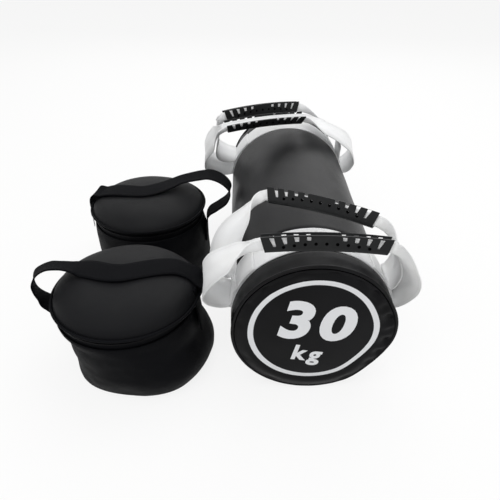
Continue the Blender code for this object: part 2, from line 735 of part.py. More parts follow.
def smooth_line(points, pieces):
    """Points on a smooth curve through the given ones, with even pieces between each two."""
    line = []
    last = len(points) - 1
    for index in range(last):
        before = points[max(index - 1, 0)]
        start = points[index]
        end = points[index + 1]
        after = points[min(index + 2, last)]
        for step in range(pieces):
            t = step / pieces
            line.append(
                0.5 * (2 * start + (end - before) * t
                       + (2 * before - 5 * start + 4 * end - after) * t ** 2
                       + (3 * start - before - 3 * end + after) * t ** 3))
    line.append(points[-1])
    return line


def handle_side(root, tip, bulge, side):
    """Route of one side of a handle, from its root on the bag to the end of its grip."""
    rise = tip - root
    points = []
    for out, up in SIDE_SHARES:
        place = root + rise * up
        place.x = root.x + side * out * (bulge - abs(root.x))
        points.append(place)
    for out, up in REACH_SHARES:
        place = root + rise * up
        place.x = tip.x + out * (side * bulge - tip.x)
        points.append(place)
    points.append(tip)
    return points


def handle_strap(name, frame, spread, root, bulges, carrier):
    """One strap of webbing: flat at its roots, folded to a U where it runs through the grip."""
    centre, length, breadth, opening = frame
    core = GRIP_CORE_RADIUS - GRIP_WALL / 2 - WEB_THICKNESS / 2 - SOFT_GAP
    leg = FLANGE_HEIGHT - WEB_INSET
    half = GRIP_LENGTH / 2
    ends = [grip_point(frame, side * half, 0.0, 0.0) for side in (-1, 1)]
    roots = [Vector((side * root.x, root.y, root.z)) for side in (-1, 1)]
    left = smooth_line(handle_side(roots[0], ends[0], bulges[0], -1), 2)
    right = smooth_line(handle_side(roots[1], ends[1], bulges[1], 1), 2)
    middle = [grip_point(frame, share * half, 0.0, 0.0) for share in STRAP_SHARES]
    line = left + middle + list(reversed(right))
    folded = [(across, up + WEB_LIFT) for across, up in channel(core, leg, spread, 2)]
    spots = [0.0]
    for first, second in zip(folded, folded[1:]):
        spots.append(spots[-1] + math.dist(first, second))
    flat = [spot / spots[-1] - 0.5 for spot in spots]
    leans = []
    for place, tip in zip(roots, ends):
        rise = tip - place
        leans.append(math.atan2(-rise.y, rise.z))
    sides = [Vector((0.0, math.cos(lean), math.sin(lean))) for lean in leans]
    rings = []
    last = len(line) - 1
    for index, place in enumerate(line):
        if index <= len(left) - 1:
            share = index / (len(left) - 1)
            base, near_tip, near_root = sides[0], ends[0], roots[0]
        elif index >= last - (len(right) - 1):
            share = (last - index) / (len(right) - 1)
            base, near_tip, near_root = sides[1], ends[1], roots[1]
        else:
            share = 1.0
            base, near_tip, near_root = breadth, place, place
        if share == 1.0:
            tangent = length
        elif index == 0:
            tangent = Vector((-1.0, 0.0, 0.0))
        elif index == last:
            tangent = Vector((-1.0, 0.0, 0.0))
        else:
            tangent = (line[index + 1] - line[index - 1]).normalized()
        wide = base.lerp(breadth, share * share)
        wide = (wide - tangent * wide.dot(tangent)).normalized()
        inner = wide.cross(tangent)
        away = (place - near_tip).length
        fold = max(0.0, 1.0 - away / FOLD_LENGTH)
        fold = fold * fold * (3.0 - 2.0 * fold)
        width = WEB_WIDTH
        if share < 1.0:
            grown = min(1.0, (place - near_root).length / ROOT_LENGTH)
            width = ROOT_WIDTH + (WEB_WIDTH - ROOT_WIDTH) * grown
        section = []
        for (across, up), spot in zip(folded, flat):
            section.append((across * fold + spot * width * (1.0 - fold), up * fold))
        rings.append([place + wide * across - inner * up
                      for across, up in thicken(section, WEB_THICKNESS)])
    bm = bmesh.new()
    loft(bm, rings)
    finish(name, bm, white_webbing(name), carrier)


def handles(bag):
    """The four handles, each on its own pivot across the bag."""
    for name, end, rise, reach, (aside, out, above), yaw, roll, spread, left, right in HANDLES:
        across = math.sqrt(BAG_RADIUS ** 2 - rise ** 2) + reach
        root = Vector((across, end * BAND_PLACE, AXIS_HEIGHT + rise))
        carrier = pivot(name + "_handle", (0.0, root.y, root.z), bag)
        frame = grip_frame((aside, end * (BAND_PLACE + out), BAG_TOP + above), yaw, roll)
        bulges = (BAG_RADIUS + left, BAG_RADIUS + right)
        grip(name + "_grip", frame, spread, carrier)
        handle_strap(name + "_strap", frame, spread, root, bulges, carrier)


def body_radius(height):
    """Radius of a filler bag's cloth side at a height, before it leans."""
    share = min(1.0, max(0.0, height / FILLER_TOP))
    for (low, first), (high, last) in zip(BODY_SHARES, BODY_SHARES[1:]):
        if share <= high:
            return FILLER_RADIUS * (first + (last - first) * (share - low) / (high - low))
    return FILLER_RADIUS * BODY_SHARES[-1][1]


def slump(bm, place):
    """Lean the lower part of a filler bag a little and stand it at its place."""
    for vertex in bm.verts:
        share = max(0.0, 1.0 - vertex.co.z / FILLER_TOP)
        vertex.co.x += place[0] + FILLER_LEAN[0] * share
        vertex.co.y += place[1] + FILLER_LEAN[1] * share


def filler_piece(name, outline, material, place, carrier, closed=True):
    bm = turned(outline, FILLER_STEPS, "Z", closed)
    slump(bm, place)
    return finish(name, bm, material, carrier)


def torus_outline(radius, height, cord):
    return [(radius + cord * math.cos(FULL_TURN * index / 6), height + cord * math.sin(FULL_TURN * index / 6))
            for index in range(6)]


def filler_shell(name, place, carrier):
    """Cloth side, base, both pipings, zip tape, chain and lid of one filler bag."""
    low = 2 * FILLER_PIPING + GAP
    heights = [low] + [share * FILLER_TOP for share, _ in BODY_SHARES[1:]]
    outer = [(body_radius(height), height) for height in heights]
    inner = [(body_radius(height) - FILLER_WALL, height) for height in reversed(heights)]
    filler_piece(name + "_filler_body", outer + inner, black_cloth(name + "_filler_body"), place, carrier)

    cord = body_radius(0.0) - FILLER_PIPING
    filler_piece(name + "_filler_base_piping", torus_outline(cord, FILLER_PIPING, FILLER_PIPING),
                 black_cloth(name + "_filler_base_piping"), place, carrier)
    disc = cord - FILLER_PIPING - GAP
    outline = [(0.0, 0.0), (disc, 0.0), (disc, 2 * FILLER_PIPING), (disc - FILLER_WALL, 2 * FILLER_PIPING),
               (disc - FILLER_WALL, FILLER_WALL), (0.0, FILLER_WALL)]
    filler_piece(name + "_filler_base", outline, black_cloth(name + "_filler_base"), place, carrier,
                 closed=False)

    tape = body_radius(FILLER_TOP) - FILLER_WALL - GAP
    seat = LID_SEAM - FILLER_PIPING - GAP
    heights = [FILLER_TOP - TAPE_LAP, FILLER_TOP, seat - GAP]
    outline = [(tape, height) for height in heights]
    outline += [(tape - TAPE_WALL, height) for height in reversed(heights)]
    filler_piece(name + "_filler_zip_tape", outline, black_cloth(name + "_filler_zip_tape"), place, carrier)
    chain = tape + GAP
    half = FILLER_ZIP_BAND / 2
    face = half * CHAIN_FACE_SHARE
    proud = chain + FILLER_ZIP_DEPTH
    outline = [(chain, FILLER_ZIP_HEIGHT - half), (proud, FILLER_ZIP_HEIGHT - face),
               (proud, FILLER_ZIP_HEIGHT + face), (chain, FILLER_ZIP_HEIGHT + half)]
    filler_piece(name + "_filler_zip_chain", outline, black_plastic(name + "_filler_zip_chain"), place,
                 carrier)

    cord = LID_RADIUS - FILLER_PIPING
    filler_piece(name + "_filler_rim_piping", torus_outline(cord, LID_SEAM, FILLER_PIPING),
                 black_cloth(name + "_filler_rim_piping"), place, carrier)
    neck = cord - FILLER_PIPING - GAP
    flange = tape - TAPE_WALL - GAP
    outer = [(share * neck, LID_SEAM + LID_DOME * height) for share, height in LID_SHARES]
    lip = [(neck, seat), (flange, seat), (flange, seat - TAPE_LAP), (flange - LID_WALL, seat - TAPE_LAP),
           (flange - LID_WALL, seat + LID_WALL)]
    under = neck - 2 * LID_WALL
    inner = [(share * under, LID_SEAM - LID_WALL + LID_DOME * height)
             for share, height in reversed(LID_SHARES)]
    filler_piece(name + "_filler_lid", outer + lip + inner, black_cloth(name + "_filler_lid"), place,
                 carrier, closed=False)


def filler_pouch(name, place, carrier):
    """The sealed sand pouch inside a filler bag."""
    low = FILLER_WALL + SOFT_GAP
    top = LID_SEAM + POUCH_HEAD
    flange = body_radius(FILLER_TOP) - FILLER_WALL - TAPE_WALL - LID_WALL - 2 * GAP - 2 * SOFT_GAP
    base = body_radius(0.0) - 2 * FILLER_PIPING - FILLER_WALL - GAP - SOFT_GAP
    outline = [(0.0, low), (base - POUCH_ROUND, low), (base, low + POUCH_ROUND / 2), (base, low + POUCH_ROUND),
               (flange, FILLER_TOP - TAPE_LAP), (flange, LID_SEAM - POUCH_ROUND / 2),
               (flange - POUCH_ROUND, top - POUCH_ROUND / 2), (flange - 2 * POUCH_ROUND, top), (0.0, top)]
    filler_piece(name + "_filler_sand_pouch", outline, sand_sack(name + "_filler_sand_pouch"), place,
                 carrier, closed=False)


def filler_patch(name, azimuth, place, carrier):
    """A sewn end of the filler's strap, flat on the cloth side."""
    facet = FULL_TURN / FILLER_STEPS
    middle = math.radians(azimuth)
    heights = [FILLER_PATCH_LOW, BODY_SHARES[-2][0] * FILLER_TOP, FILLER_PATCH_HIGH]
    outline = [(body_radius(height) + GAP, height) for height in heights]
    outline += [(body_radius(height) + GAP + FILLER_WEB_THICKNESS, height) for height in reversed(heights)]
    rings = []
    for step in (-1, 0, 1):
        angle = middle + step * facet
        rings.append([Vector((radius * math.cos(angle), radius * math.sin(angle), height))
                      for radius, height in outline])
    bm = bmesh.new()
    loft(bm, rings)
    slump(bm, place)
    finish(name, bm, black_cloth(name), carrier)


def filler_strap(name, route, azimuths, place, carrier):
    """A slack strap from one side of a filler bag over its lid to the other."""
    left, right = [math.radians(azimuth) for azimuth in azimuths]
    left_wide = Vector((math.sin(left), -math.cos(left), 0.0))
    right_wide = Vector((-math.sin(right), math.cos(right), 0.0))
    points = [Vector((FILLER_RADIUS * x + place[0], FILLER_RADIUS * y + place[1], LID_SEAM * z))
              for x, y, z in route]
    line = smooth_line(points, 2)
    rings = []
    last = len(line) - 1
    for index, point in enumerate(line):
        tangent = (line[min(index + 1, last)] - line[max(index - 1, 0)]).normalized()
        share = index / last
        wide = left_wide.lerp(right_wide, share * share * (3.0 - 2.0 * share))
        wide = (wide - tangent * wide.dot(tangent)).normalized()
        inner = wide.cross(tangent)
        half = FILLER_WEB_WIDTH / 2
        thick = FILLER_WEB_THICKNESS / 2
        rings.append([point + wide * across + inner * up for across, up in
                      ((-half, -thick), (half, -thick), (half, thick), (-half, thick))])
    bm = bmesh.new()
    loft(bm, rings)
    finish(name, bm, black_cloth(name), carrier)


def fillers(bag):
    """The two filler bags that stand beside the long bag."""
    routes = {"front": FRONT_ROUTE_SHARES, "rear": REAR_ROUTE_SHARES}
    for name, (aside, ahead), slider_azimuth, left_azimuth, right_azimuth in FILLER_PLACES:
        place = (-(BAG_RADIUS + FILLER_RADIUS + aside), ahead)
        carrier = pivot(name + "_filler", (place[0], place[1], 0.0), bag)
        filler_shell(name, place, carrier)
        filler_pouch(name, place, carrier)
        filler_patch(name + "_filler_left_patch", left_azimuth, place, carrier)
        filler_patch(name + "_filler_right_patch", right_azimuth, place, carrier)
        filler_strap(name + "_filler_strap", routes[name], (left_azimuth, right_azimuth), place,
                     carrier)
        angle = math.radians(slider_azimuth)
        out = Vector((math.cos(angle), math.sin(angle), 0.0))
        along = Vector((-math.sin(angle), math.cos(angle), 0.0))
        radius = body_radius(FILLER_TOP) - FILLER_WALL + FILLER_ZIP_DEPTH + GAP
        spot = Vector((place[0], place[1], FILLER_ZIP_HEIGHT)) + out * radius
        slider = pivot(name + "_filler_slider", (place[0], place[1], FILLER_ZIP_HEIGHT), carrier)
        down = Vector((0.0, 0.0, -1.0))
        zip_slider(name + "_filler_zip_slider", spot, out, along, down, slider)
        hang = pull_place(spot, out)
        pull = pivot(name + "_filler_pull", hang, slider)
        zip_pull(name + "_filler_zip_pull", hang, out, down, pull)


def main():
    clear_scene()
    bag = pivot("long_bag", (0.0, 0.0, 0.0))
    main_shell(bag)
    near_end(bag)
    fold = HALF_LENGTH + dome_at(CHORD_DROP, NECK_RADIUS, END_DOME, DOME_SHARES) + FOLD_PROUD
    flap = pivot("far_flap_hinge", (0.0, fold, AXIS_HEIGHT - CHORD_DROP), bag)
    far_end(bag, flap)
    place, out, along = far_slider_frame()
    slider = pivot("far_slider", (0.0, HALF_LENGTH, AXIS_HEIGHT), bag)
    pull = pivot("far_pull", pull_place(place, out), slider)
    far_zip(bag, flap, slider, pull)
    inside(bag)
    bands(bag)
    handles(bag)
    fillers(bag)


main()
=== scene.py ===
"""Looks of the sandbag trainer set: leather, webbing, grips, cloth, zips and the studio."""

import math
from functools import cache

import bmesh
import bpy
from mathutils import Matrix, Vector, noise


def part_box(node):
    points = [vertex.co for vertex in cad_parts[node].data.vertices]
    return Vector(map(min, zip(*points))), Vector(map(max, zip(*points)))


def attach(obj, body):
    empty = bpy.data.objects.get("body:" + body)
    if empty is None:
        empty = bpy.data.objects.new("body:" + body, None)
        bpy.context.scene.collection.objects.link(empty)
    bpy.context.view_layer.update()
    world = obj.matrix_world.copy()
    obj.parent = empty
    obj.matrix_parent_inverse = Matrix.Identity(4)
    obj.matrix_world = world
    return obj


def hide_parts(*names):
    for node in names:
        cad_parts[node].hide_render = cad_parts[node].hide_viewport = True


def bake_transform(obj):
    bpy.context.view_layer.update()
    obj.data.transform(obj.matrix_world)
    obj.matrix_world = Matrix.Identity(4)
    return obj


bl_info = {
    "name": "Sandbag Trainer",
    "version": (1, 0, 0),
    "blender": (4, 5, 0),
    "location": "View3D > Sidebar > Sandbag",
    "description": "Builds the looks of a sandbag trainer with its filler bags",
    "category": "Object",
}

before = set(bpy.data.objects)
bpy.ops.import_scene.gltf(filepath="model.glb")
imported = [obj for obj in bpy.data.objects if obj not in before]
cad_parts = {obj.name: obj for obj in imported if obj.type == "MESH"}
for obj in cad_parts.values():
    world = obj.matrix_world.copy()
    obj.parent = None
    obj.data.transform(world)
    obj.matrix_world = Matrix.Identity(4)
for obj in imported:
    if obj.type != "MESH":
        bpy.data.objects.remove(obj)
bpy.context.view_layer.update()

FULL_TURN = 2 * math.pi
SIDES = (-1, 1)
BAG_STEPS = 192
DISC_STEPS = 240
FILLER_STEPS = 160
SACK_STEPS = 96
BAG_WALL = 0.0012
FAR_WALL = 0.0015
FILLER_CLOTH = 0.0015

AXIS_HEIGHT = 0.105
BAG_RADIUS = 0.110
BAG_SETTLE = 0.005
HALF_LENGTH = 0.270
PIPING_RADIUS = 0.0025
BAND_PLACE = 0.208
WEB_THICKNESS = 0.0018
GAP = 0.0003
END_DOME = 0.005
END_LIP = 0.006
NECK_RADIUS = BAG_RADIUS - 2 * PIPING_RADIUS - GAP
SEAM = 0.0053
# Where the marked end is out of round: turn from +X, half width in degrees, height
NEAR_PINCHES = ((5.0, 24.0, 0.0025), (-36.0, 28.0, -0.0042))
# Folds of the leather near the marked end's seam: turn from +X, half width in degrees, depth, reach
NEAR_FOLDS = (
    (41.0, 6.0, 0.0026, 0.020), (27.0, 4.0, 0.0012, 0.020), (14.0, 6.5, 0.0034, 0.021),
    (3.0, 3.5, 0.0014, 0.022), (-9.0, 6.0, 0.0032, 0.021), (-22.0, 5.0, 0.0020, 0.020),
    (58.0, 5.0, 0.0012, 0.018), (78.0, 6.0, 0.0010, 0.016), (103.0, 6.0, 0.0010, 0.016),
    (131.0, 4.0, 0.0014, 0.018), (150.0, 4.0, 0.0016, 0.018), (168.0, 5.0, 0.0008, 0.014),
    (205.0, 6.0, 0.0007, 0.014), (238.0, 7.0, 0.0006, 0.012), (300.0, 7.0, 0.0008, 0.014),
    (325.0, 5.0, 0.0010, 0.018),
)
FAR_DOME_SHARES = ((0.0, 1.0), (0.35, 0.94), (0.65, 0.72), (0.88, 0.34), (1.0, 0.0))
RING_CENTRE = (-0.0015, 0.005)
MARKING_TILT = -7.8
# Lettering: name, words, its height's name, centre, spacing, thickening, widening
MARKINGS = (
    ("marking_number", "30", "number_height", (0.0043, 0.0233), 1.20, 0.040, 1.11),
    ("marking_unit", "kg", "unit_height", (-0.0073, -0.0364), 1.34, 0.034, 0.98),
)
# Sewn patches: hand and where each starts, in degrees from +X
PATCHES = (("left", 135.0), ("right", 8.0))
PATCH_TURN = 37.0

GRIP_LENGTH = 0.153
GRIP_WALL = 0.0018
GRIP_CORE_RADIUS = 0.0046
GRIP_STATIONS = 17
GRIP_SHARP = 35.0
FLANGE_HEIGHT = 0.016
GRIP_ARCH = 0.004
END_SLANT = 0.006
# Windows of a grip: place along it, width, depth, slant, width at the foot
WINDOW_SIZES = (
    (0.0205, 0.0050, 0.0046, 0.0000, 0.0050),
    (0.0348, 0.0058, 0.0060, 0.0010, 0.0046),
    (0.0491, 0.0060, 0.0085, 0.0022, 0.0034),
    (0.0634, 0.0056, 0.0112, 0.0042, 0.0032),
)
HOLE_RADIUS = 0.0020
HOLE_PITCH = 0.0123
# Handles: name, end, rise and stand-off of the roots, centre, yaw, roll and spread of the grip,
# bulge of the left and right loop, twist of the left and right loop
HANDLES = (
    ("near_front", -1, 0.020, 0.0029, (0.003, -0.2759, 0.2474), -3.0, 15.0, 6.0,
     (0.146, 0.123), (0.0, -32.0)),
    ("near_back", -1, 0.046, 0.0039, (0.0075, -0.1924, 0.2500), -27.7, 45.0, 20.0,
     (0.119, 0.113), (48.0, 0.0)),
    ("far_front", 1, 0.020, 0.0029, (-0.049, 0.1270, 0.2450), 18.0, -10.0, 20.0,
     (0.164, 0.132), (0.0, 0.0)),
    ("far_back", 1, 0.046, 0.0039, (-0.053, 0.1805, 0.2470), 20.4, 15.0, 6.0,
     (0.141, 0.104), (0.0, 0.0)),
)
# Route of a loop, as shares of its bulge and of its rise, near the bag and near the grip
SIDE_SHARES = ((0.0, 0.0), (0.45, 0.03), (0.88, 0.14), (1.0, 0.33))
REACH_SHARES = ((0.80, 0.60), (0.35, 0.88))

ZIP_RADIUS = 0.088
ZIP_PITCH = 0.0028
FLAP_HALF_ANGLE = math.radians(37.5)
CHORD_DROP = ZIP_RADIUS * math.cos(FLAP_HALF_ANGLE)
FLAP_GAP = 0.0012

FILLER_TOP = 0.106
FILLER_RADIUS = 0.100
LID_RADIUS = 0.102
LID_SEAM = 0.127
LID_DOME = 0.028
REAR_LID_DOME = 0.024
# How the front lid has slid over and spread
LID_SHIFT = 0.004
LID_SPREAD = 1.022
FILLER_PIPING = 0.0021
LID_NECK = LID_RADIUS - 2 * FILLER_PIPING - GAP
FILLER_FOOT = 0.965 * FILLER_RADIUS
FILLER_MOUTH = 0.962 * FILLER_RADIUS
FRONT_PLACE = (-0.2590, -0.2020)
REAR_PLACE = (-0.2600, 0.0460)
# Filler bags: name, place, turn of the strap's left and right end, seed of the wrinkles
FILLERS = (("front", FRONT_PLACE, 180.0, 0.0, 3.0), ("rear", REAR_PLACE, 168.75, 0.0, 8.0))
FILLER_WEB_THICKNESS = 0.0020
SEWN_LENGTH = 0.026
STRAP_ROUTES = {
    "front": (
        (-0.1012, 0.0, 0.0860), (-0.1030, 0.0, 0.1000), (-0.1120, 0.0, 0.1085),
        (-0.1200, 0.0, 0.1200), (-0.1238, 0.0, 0.1340), (-0.1222, 0.0015, 0.1480),
        (-0.1130, 0.0045, 0.1585), (-0.1000, 0.0080, 0.1635), (-0.0860, 0.0115, 0.1615),
        (-0.0720, 0.0140, 0.1575), (-0.0580, 0.0140, 0.1553), (-0.0400, 0.0080, 0.1568),
        (-0.0200, 0.0010, 0.1580), (0.0, -0.0005, 0.1584), (0.0180, 0.0040, 0.1581),
        (0.0400, 0.0110, 0.1568), (0.0600, 0.0165, 0.1541), (0.0760, 0.0190, 0.1500),
        (0.0900, 0.0160, 0.1440), (0.0990, 0.0100, 0.1370), (0.1045, 0.0050, 0.1270),
        (0.1052, 0.0010, 0.1120), (0.1045, 0.0, 0.0990), (0.1038, 0.0, 0.0860),
    ),
    "rear": (
        (-0.0993, 0.0211, 0.0860), (-0.1010, 0.0207, 0.0990), (-0.1032, 0.0207, 0.1120),
        (-0.1036, 0.0209, 0.1280), (-0.0985, 0.0205, 0.1395), (-0.0860, 0.0180, 0.1480),
        (-0.0700, 0.0130, 0.1535), (-0.0530, 0.0065, 0.1562), (-0.0300, -0.0010, 0.1579),
        (-0.0080, -0.0040, 0.1585), (0.0130, 0.0040, 0.1585), (0.0340, 0.0160, 0.1585),
        (0.0540, 0.0260, 0.1600), (0.0740, 0.0265, 0.1651), (0.0930, 0.0205, 0.1716),
        (0.1113, 0.0150, 0.1757), (0.1291, 0.0100, 0.1714), (0.1425, 0.0060, 0.1614),
        (0.1470, 0.0030, 0.1495), (0.1400, 0.0, 0.1340), (0.1245, 0.0, 0.1215),
        (0.1120, 0.0, 0.1120), (0.1062, 0.0, 0.1030), (0.1042, 0.0, 0.0940),
        (0.1038, 0.0, 0.0840),
    ),
}

# The middle of each body, from which its surfaces face outwards
HEARTS = {
    "long_bag": (0.0, 0.0, AXIS_HEIGHT), "far_flap": (0.0, 0.0, AXIS_HEIGHT),
    "front_filler": (*FRONT_PLACE, 0.060), "rear_filler": (*REAR_PLACE, 0.060),
}

# Studio lights: name, place, width, depth, power
LIGHTS = (
    ("key_panel", (-0.6, -0.9, 1.6), 1.2, 1.2, 12.0),
    ("top_panel", (0.3, 0.5, 1.9), 1.6, 1.6, 14.0),
    ("back_panel", (0.1, 1.6, 0.95), 2.2, 0.7, 7.0),
    ("side_panel", (1.6, -0.4, 1.0), 1.0, 1.0, 4.0),
)
CAMERA_PLACE = (-0.0964, -0.7578, 0.5743)
CAMERA_TURNS = (34.46, 1.37, -0.3)
PHOTO_WIDTH = 500.0
FOCAL_PIXELS = 505.5


class BagSizes(bpy.types.PropertyGroup):
    """Sizes of the markings and the webbing."""

    ring_outer: bpy.props.FloatProperty(
        name="Ring outer radius", description="Outer radius of the printed ring",
        default=0.0861, unit="LENGTH")
    ring_inner: bpy.props.FloatProperty(
        name="Ring inner radius", description="Inner radius of the printed ring",
        default=0.0787, unit="LENGTH")
    number_height: bpy.props.FloatProperty(
        name="Number height", description="Height of the printed weight",
        default=0.0626, unit="LENGTH")
    unit_height: bpy.props.FloatProperty(
        name="Unit height", description="Height of the printed unit",
        default=0.0367, unit="LENGTH")
    web_width: bpy.props.FloatProperty(
        name="Webbing width", description="Width of the white webbing",
        default=0.050, unit="LENGTH")
    filler_web_width: bpy.props.FloatProperty(
        name="Filler webbing width", description="Width of the filler straps",
        default=0.038, unit="LENGTH")


class BagColours(bpy.types.PropertyGroup):
    """Colours of the materials."""

    leather: bpy.props.FloatVectorProperty(
        name="Leather", description="Artificial leather of the long bag",
        subtype="COLOR", default=(0.0034, 0.0034, 0.0040))
    webbing: bpy.props.FloatVectorProperty(
        name="Webbing", description="White webbing of bands and handles",
        subtype="COLOR", default=(0.86, 0.865, 0.87))
    print_white: bpy.props.FloatVectorProperty(
        name="Print", description="Printed ring and weight",
        subtype="COLOR", default=(0.80, 0.81, 0.83))
    plastic: bpy.props.FloatVectorProperty(
        name="Grip plastic", description="Moulded grips",
        subtype="COLOR", default=(0.0100, 0.0105, 0.0110))
    cloth: bpy.props.FloatVectorProperty(
        name="Filler cloth", description="Coated cloth of the filler bags",
        subtype="COLOR", default=(0.0018, 0.0019, 0.0024))


def sizes():
    return bpy.context.scene.sandbag_sizes


def colour_of(name):
    return tuple(getattr(bpy.context.scene.sandbag_colours, name))


def shade(colour, share):
    return [channel * share for channel in colour]


class Wire:
    """A shader socket that can be used in a Python expression."""

    def __init__(self, nodes, socket):
        self.nodes = nodes
        self.socket = socket

    def of(self, operation, other=0.0):
        made = self.nodes.node("ShaderNodeMath", {"operation": operation}, {0: self, 1: other})
        return Wire(self.nodes, made.outputs[0])

    def __add__(self, other):
        return self.of("ADD", other)

    def __sub__(self, other):
        return self.of("SUBTRACT", other)

    def __mul__(self, other):
        return self.of("MULTIPLY", other)

    def __pow__(self, other):
        return self.of("POWER", other)

    def turned(self, length):
        """This value as an angle that makes a full turn in a length."""
        return self * (FULL_TURN / length)

    def between(self, low, high, to_low=0.0, to_high=1.0):
        """This value carried smoothly from one range to another and held at its ends."""
        return self.nodes.wire(
            "ShaderNodeMapRange", {"interpolation_type": "SMOOTHSTEP", "clamp": True},
            {0: self, 1: low, 2: high, 3: to_low, 4: to_high})


class Nodes:
    """The node tree of a material or world being made."""

    def __init__(self, owner):
        owner.use_nodes = True
        self.tree = owner.node_tree

    def node(self, kind, settings=None, values=None):
        made = self.tree.nodes.new(kind)
        for name, value in (settings or {}).items():
            setattr(made, name, value)
        for key, value in (values or {}).items():
            self.join(made.inputs[key], value)
        return made

    def join(self, socket, value):
        if isinstance(value, Wire):
            self.tree.links.new(value.socket, socket)
        elif socket.type == "RGBA":
            socket.default_value = (*value, 1.0)
        else:
            socket.default_value = value

    def wire(self, kind, settings=None, values=None, output=0):
        return Wire(self, self.node(kind, settings, values).outputs[output])

    def seen_straight(self):
        """1 for rays from the camera, a reflection or something clear, else 0."""
        path = self.node("ShaderNodeLightPath")
        seen = Wire(self, path.outputs["Is Camera Ray"])
        for name in ("Is Glossy Ray", "Is Transmission Ray"):
            seen = seen.of("MAXIMUM", Wire(self, path.outputs[name]))
        return seen


class Paint(Nodes):
    """A material being made, with its Principled BSDF."""

    def __init__(self, name, roughness=0.5, metallic=0.0):
        self.material = bpy.data.materials.new(name)
        super().__init__(self.material)
        self.shader = self.tree.nodes["Principled BSDF"]
        self.set(Roughness=roughness, Metallic=metallic)

    def set(self, **values):
        for name, value in values.items():
            self.join(self.shader.inputs[name.replace("_", " ")], value)
        return self.material

    def place(self):
        return self.wire("ShaderNodeTexCoord", output="Object")

    def stored(self, layer):
        return self.wire("ShaderNodeUVMap", {"uv_map": layer})

    def scaled(self, vector, scale):
        return self.wire("ShaderNodeMapping", {"vector_type": "POINT"},
                         {"Vector": vector, "Scale": scale})

    def parts(self, vector):
        made = self.node("ShaderNodeSeparateXYZ", None, {0: vector})
        return [Wire(self, output) for output in made.outputs]

    def noise(self, vector, scale, detail=3.0, roughness=0.5):
        return self.wire("ShaderNodeTexNoise", None, {
            "Vector": vector, "Scale": scale, "Detail": detail, "Roughness": roughness})

    def cells(self, vector, scale, feature="F1"):
        return self.wire("ShaderNodeTexVoronoi", {"feature": feature},
                         {"Vector": vector, "Scale": scale})

    def mix(self, share, first, second):
        made = self.node("ShaderNodeMix", {"data_type": "RGBA"}, {0: share, 6: first, 7: second})
        return Wire(self, made.outputs[2])

    def bump(self, height, distance, strength=1.0):
        return self.wire("ShaderNodeBump", None, {
            "Height": height, "Distance": distance, "Strength": strength})


def leather_surface(paint):
    """Grain, soft smudges and fine scuffs shared by the leather materials."""
    base = colour_of("leather")
    place = paint.place()
    grain = paint.cells(place, 900.0, "DISTANCE_TO_EDGE")
    pebble = paint.noise(place, 420.0, 4.0, 0.6)
    soft = paint.noise(place, 9.0, 3.0, 0.55)
    scuff = paint.noise(paint.scaled(place, (30.0, 240.0, 60.0)), 1.0, 5.0, 0.7).between(0.64, 0.76)
    smudged = paint.mix(soft.between(0.35, 0.70), shade(base, 0.7), shade(base, 1.5))
    colour = paint.mix(scuff * 0.05, smudged, (0.10, 0.10, 0.105))
    roughness = soft.between(0.3, 0.75, 0.36, 0.48) + scuff * 0.10
    height = grain.between(0.0, 0.25) * 0.4 + pebble * 0.6
    return colour, roughness, paint.bump(height, 0.00016, 0.5)


@cache
def bag_leather():
    paint = Paint("bag_leather")
    colour, roughness, normal = leather_surface(paint)
    return paint.set(Base_Color=colour, Roughness=roughness, Normal=normal, Specular_IOR_Level=0.13)


@cache
def printed_leather():
    """The near end's leather with its printed ring."""
    paint = Paint("printed_leather")
    colour, roughness, normal = leather_surface(paint)
    x, up, none = paint.parts(paint.stored("print"))
    x = x - RING_CENTRE[0]
    up = up - RING_CENTRE[1]
    ragged = (paint.noise(paint.place(), 500.0, 3.0) - 0.5) * 0.0005
    radius = (x * x + up * up) ** 0.5 + ragged
    edge = 0.0003
    outer, inner = sizes().ring_outer, sizes().ring_inner
    ring = radius.between(outer - edge, outer + edge, 1.0, 0.0) * (
        radius.between(inner - edge, inner + edge))
    worn = paint.noise(paint.place(), 260.0, 5.0, 0.7).between(0.62, 0.85, 1.0, 0.86)
    colour = paint.mix(ring * worn, colour, colour_of("print_white"))
    return paint.set(Base_Color=colour, Roughness=ring * 0.12 + roughness, Normal=normal,
                     Specular_IOR_Level=0.10)


@cache
def printed_white():
    paint = Paint("printed_white")
    place = paint.place()
    worn = paint.noise(place, 260.0, 5.0, 0.7).between(0.6, 0.85)
    white = colour_of("print_white")
    return paint.set(Base_Color=paint.mix(worn, white, shade(white, 0.72)),
                     Roughness=worn * 0.1 + 0.5,
                     Normal=paint.bump(paint.noise(place, 420.0, 4.0, 0.6), 0.0001, 0.5))


@cache
def white_webbing():
    """Tight woven polyester: ribs along the strap crossed by picks, stitched near its edges."""
    paint = Paint("white_webbing")
    u, v, w = paint.parts(paint.stored("along"))
    rib = u.turned(0.0016).of("SINE")
    weave = rib * 0.5 + (v.turned(0.0011) + rib * 0.9).of("SINE") * 0.35
    from_stitch = (u.of("ABSOLUTE") - 0.0212).of("ABSOLUTE")
    stitch = from_stitch.between(0.0002, 0.0006, 1.0, 0.0) * (
        v.turned(0.0036).of("SINE").between(-0.6, 0.1))
    soil = paint.noise(paint.place(), 22.0, 4.0, 0.6).between(0.45, 0.8)
    white = colour_of("webbing")
    shadow = shade(white, 0.6)
    colour = paint.mix(soil * 0.35, white, (white[0] * 0.88, white[1] * 0.87, white[2] * 0.83))
    colour = paint.mix(weave.between(-0.8, 0.1, 0.18, 0.0), colour, shadow)
    colour = paint.mix(from_stitch.between(0.0003, 0.0011, 0.12, 0.0), colour, shadow)
    return paint.set(Base_Color=colour, Normal=paint.bump(weave + stitch * 1.5, 0.00022, 0.6),
                     Sheen_Weight=0.1, Roughness=0.78, Specular_IOR_Level=0.3)


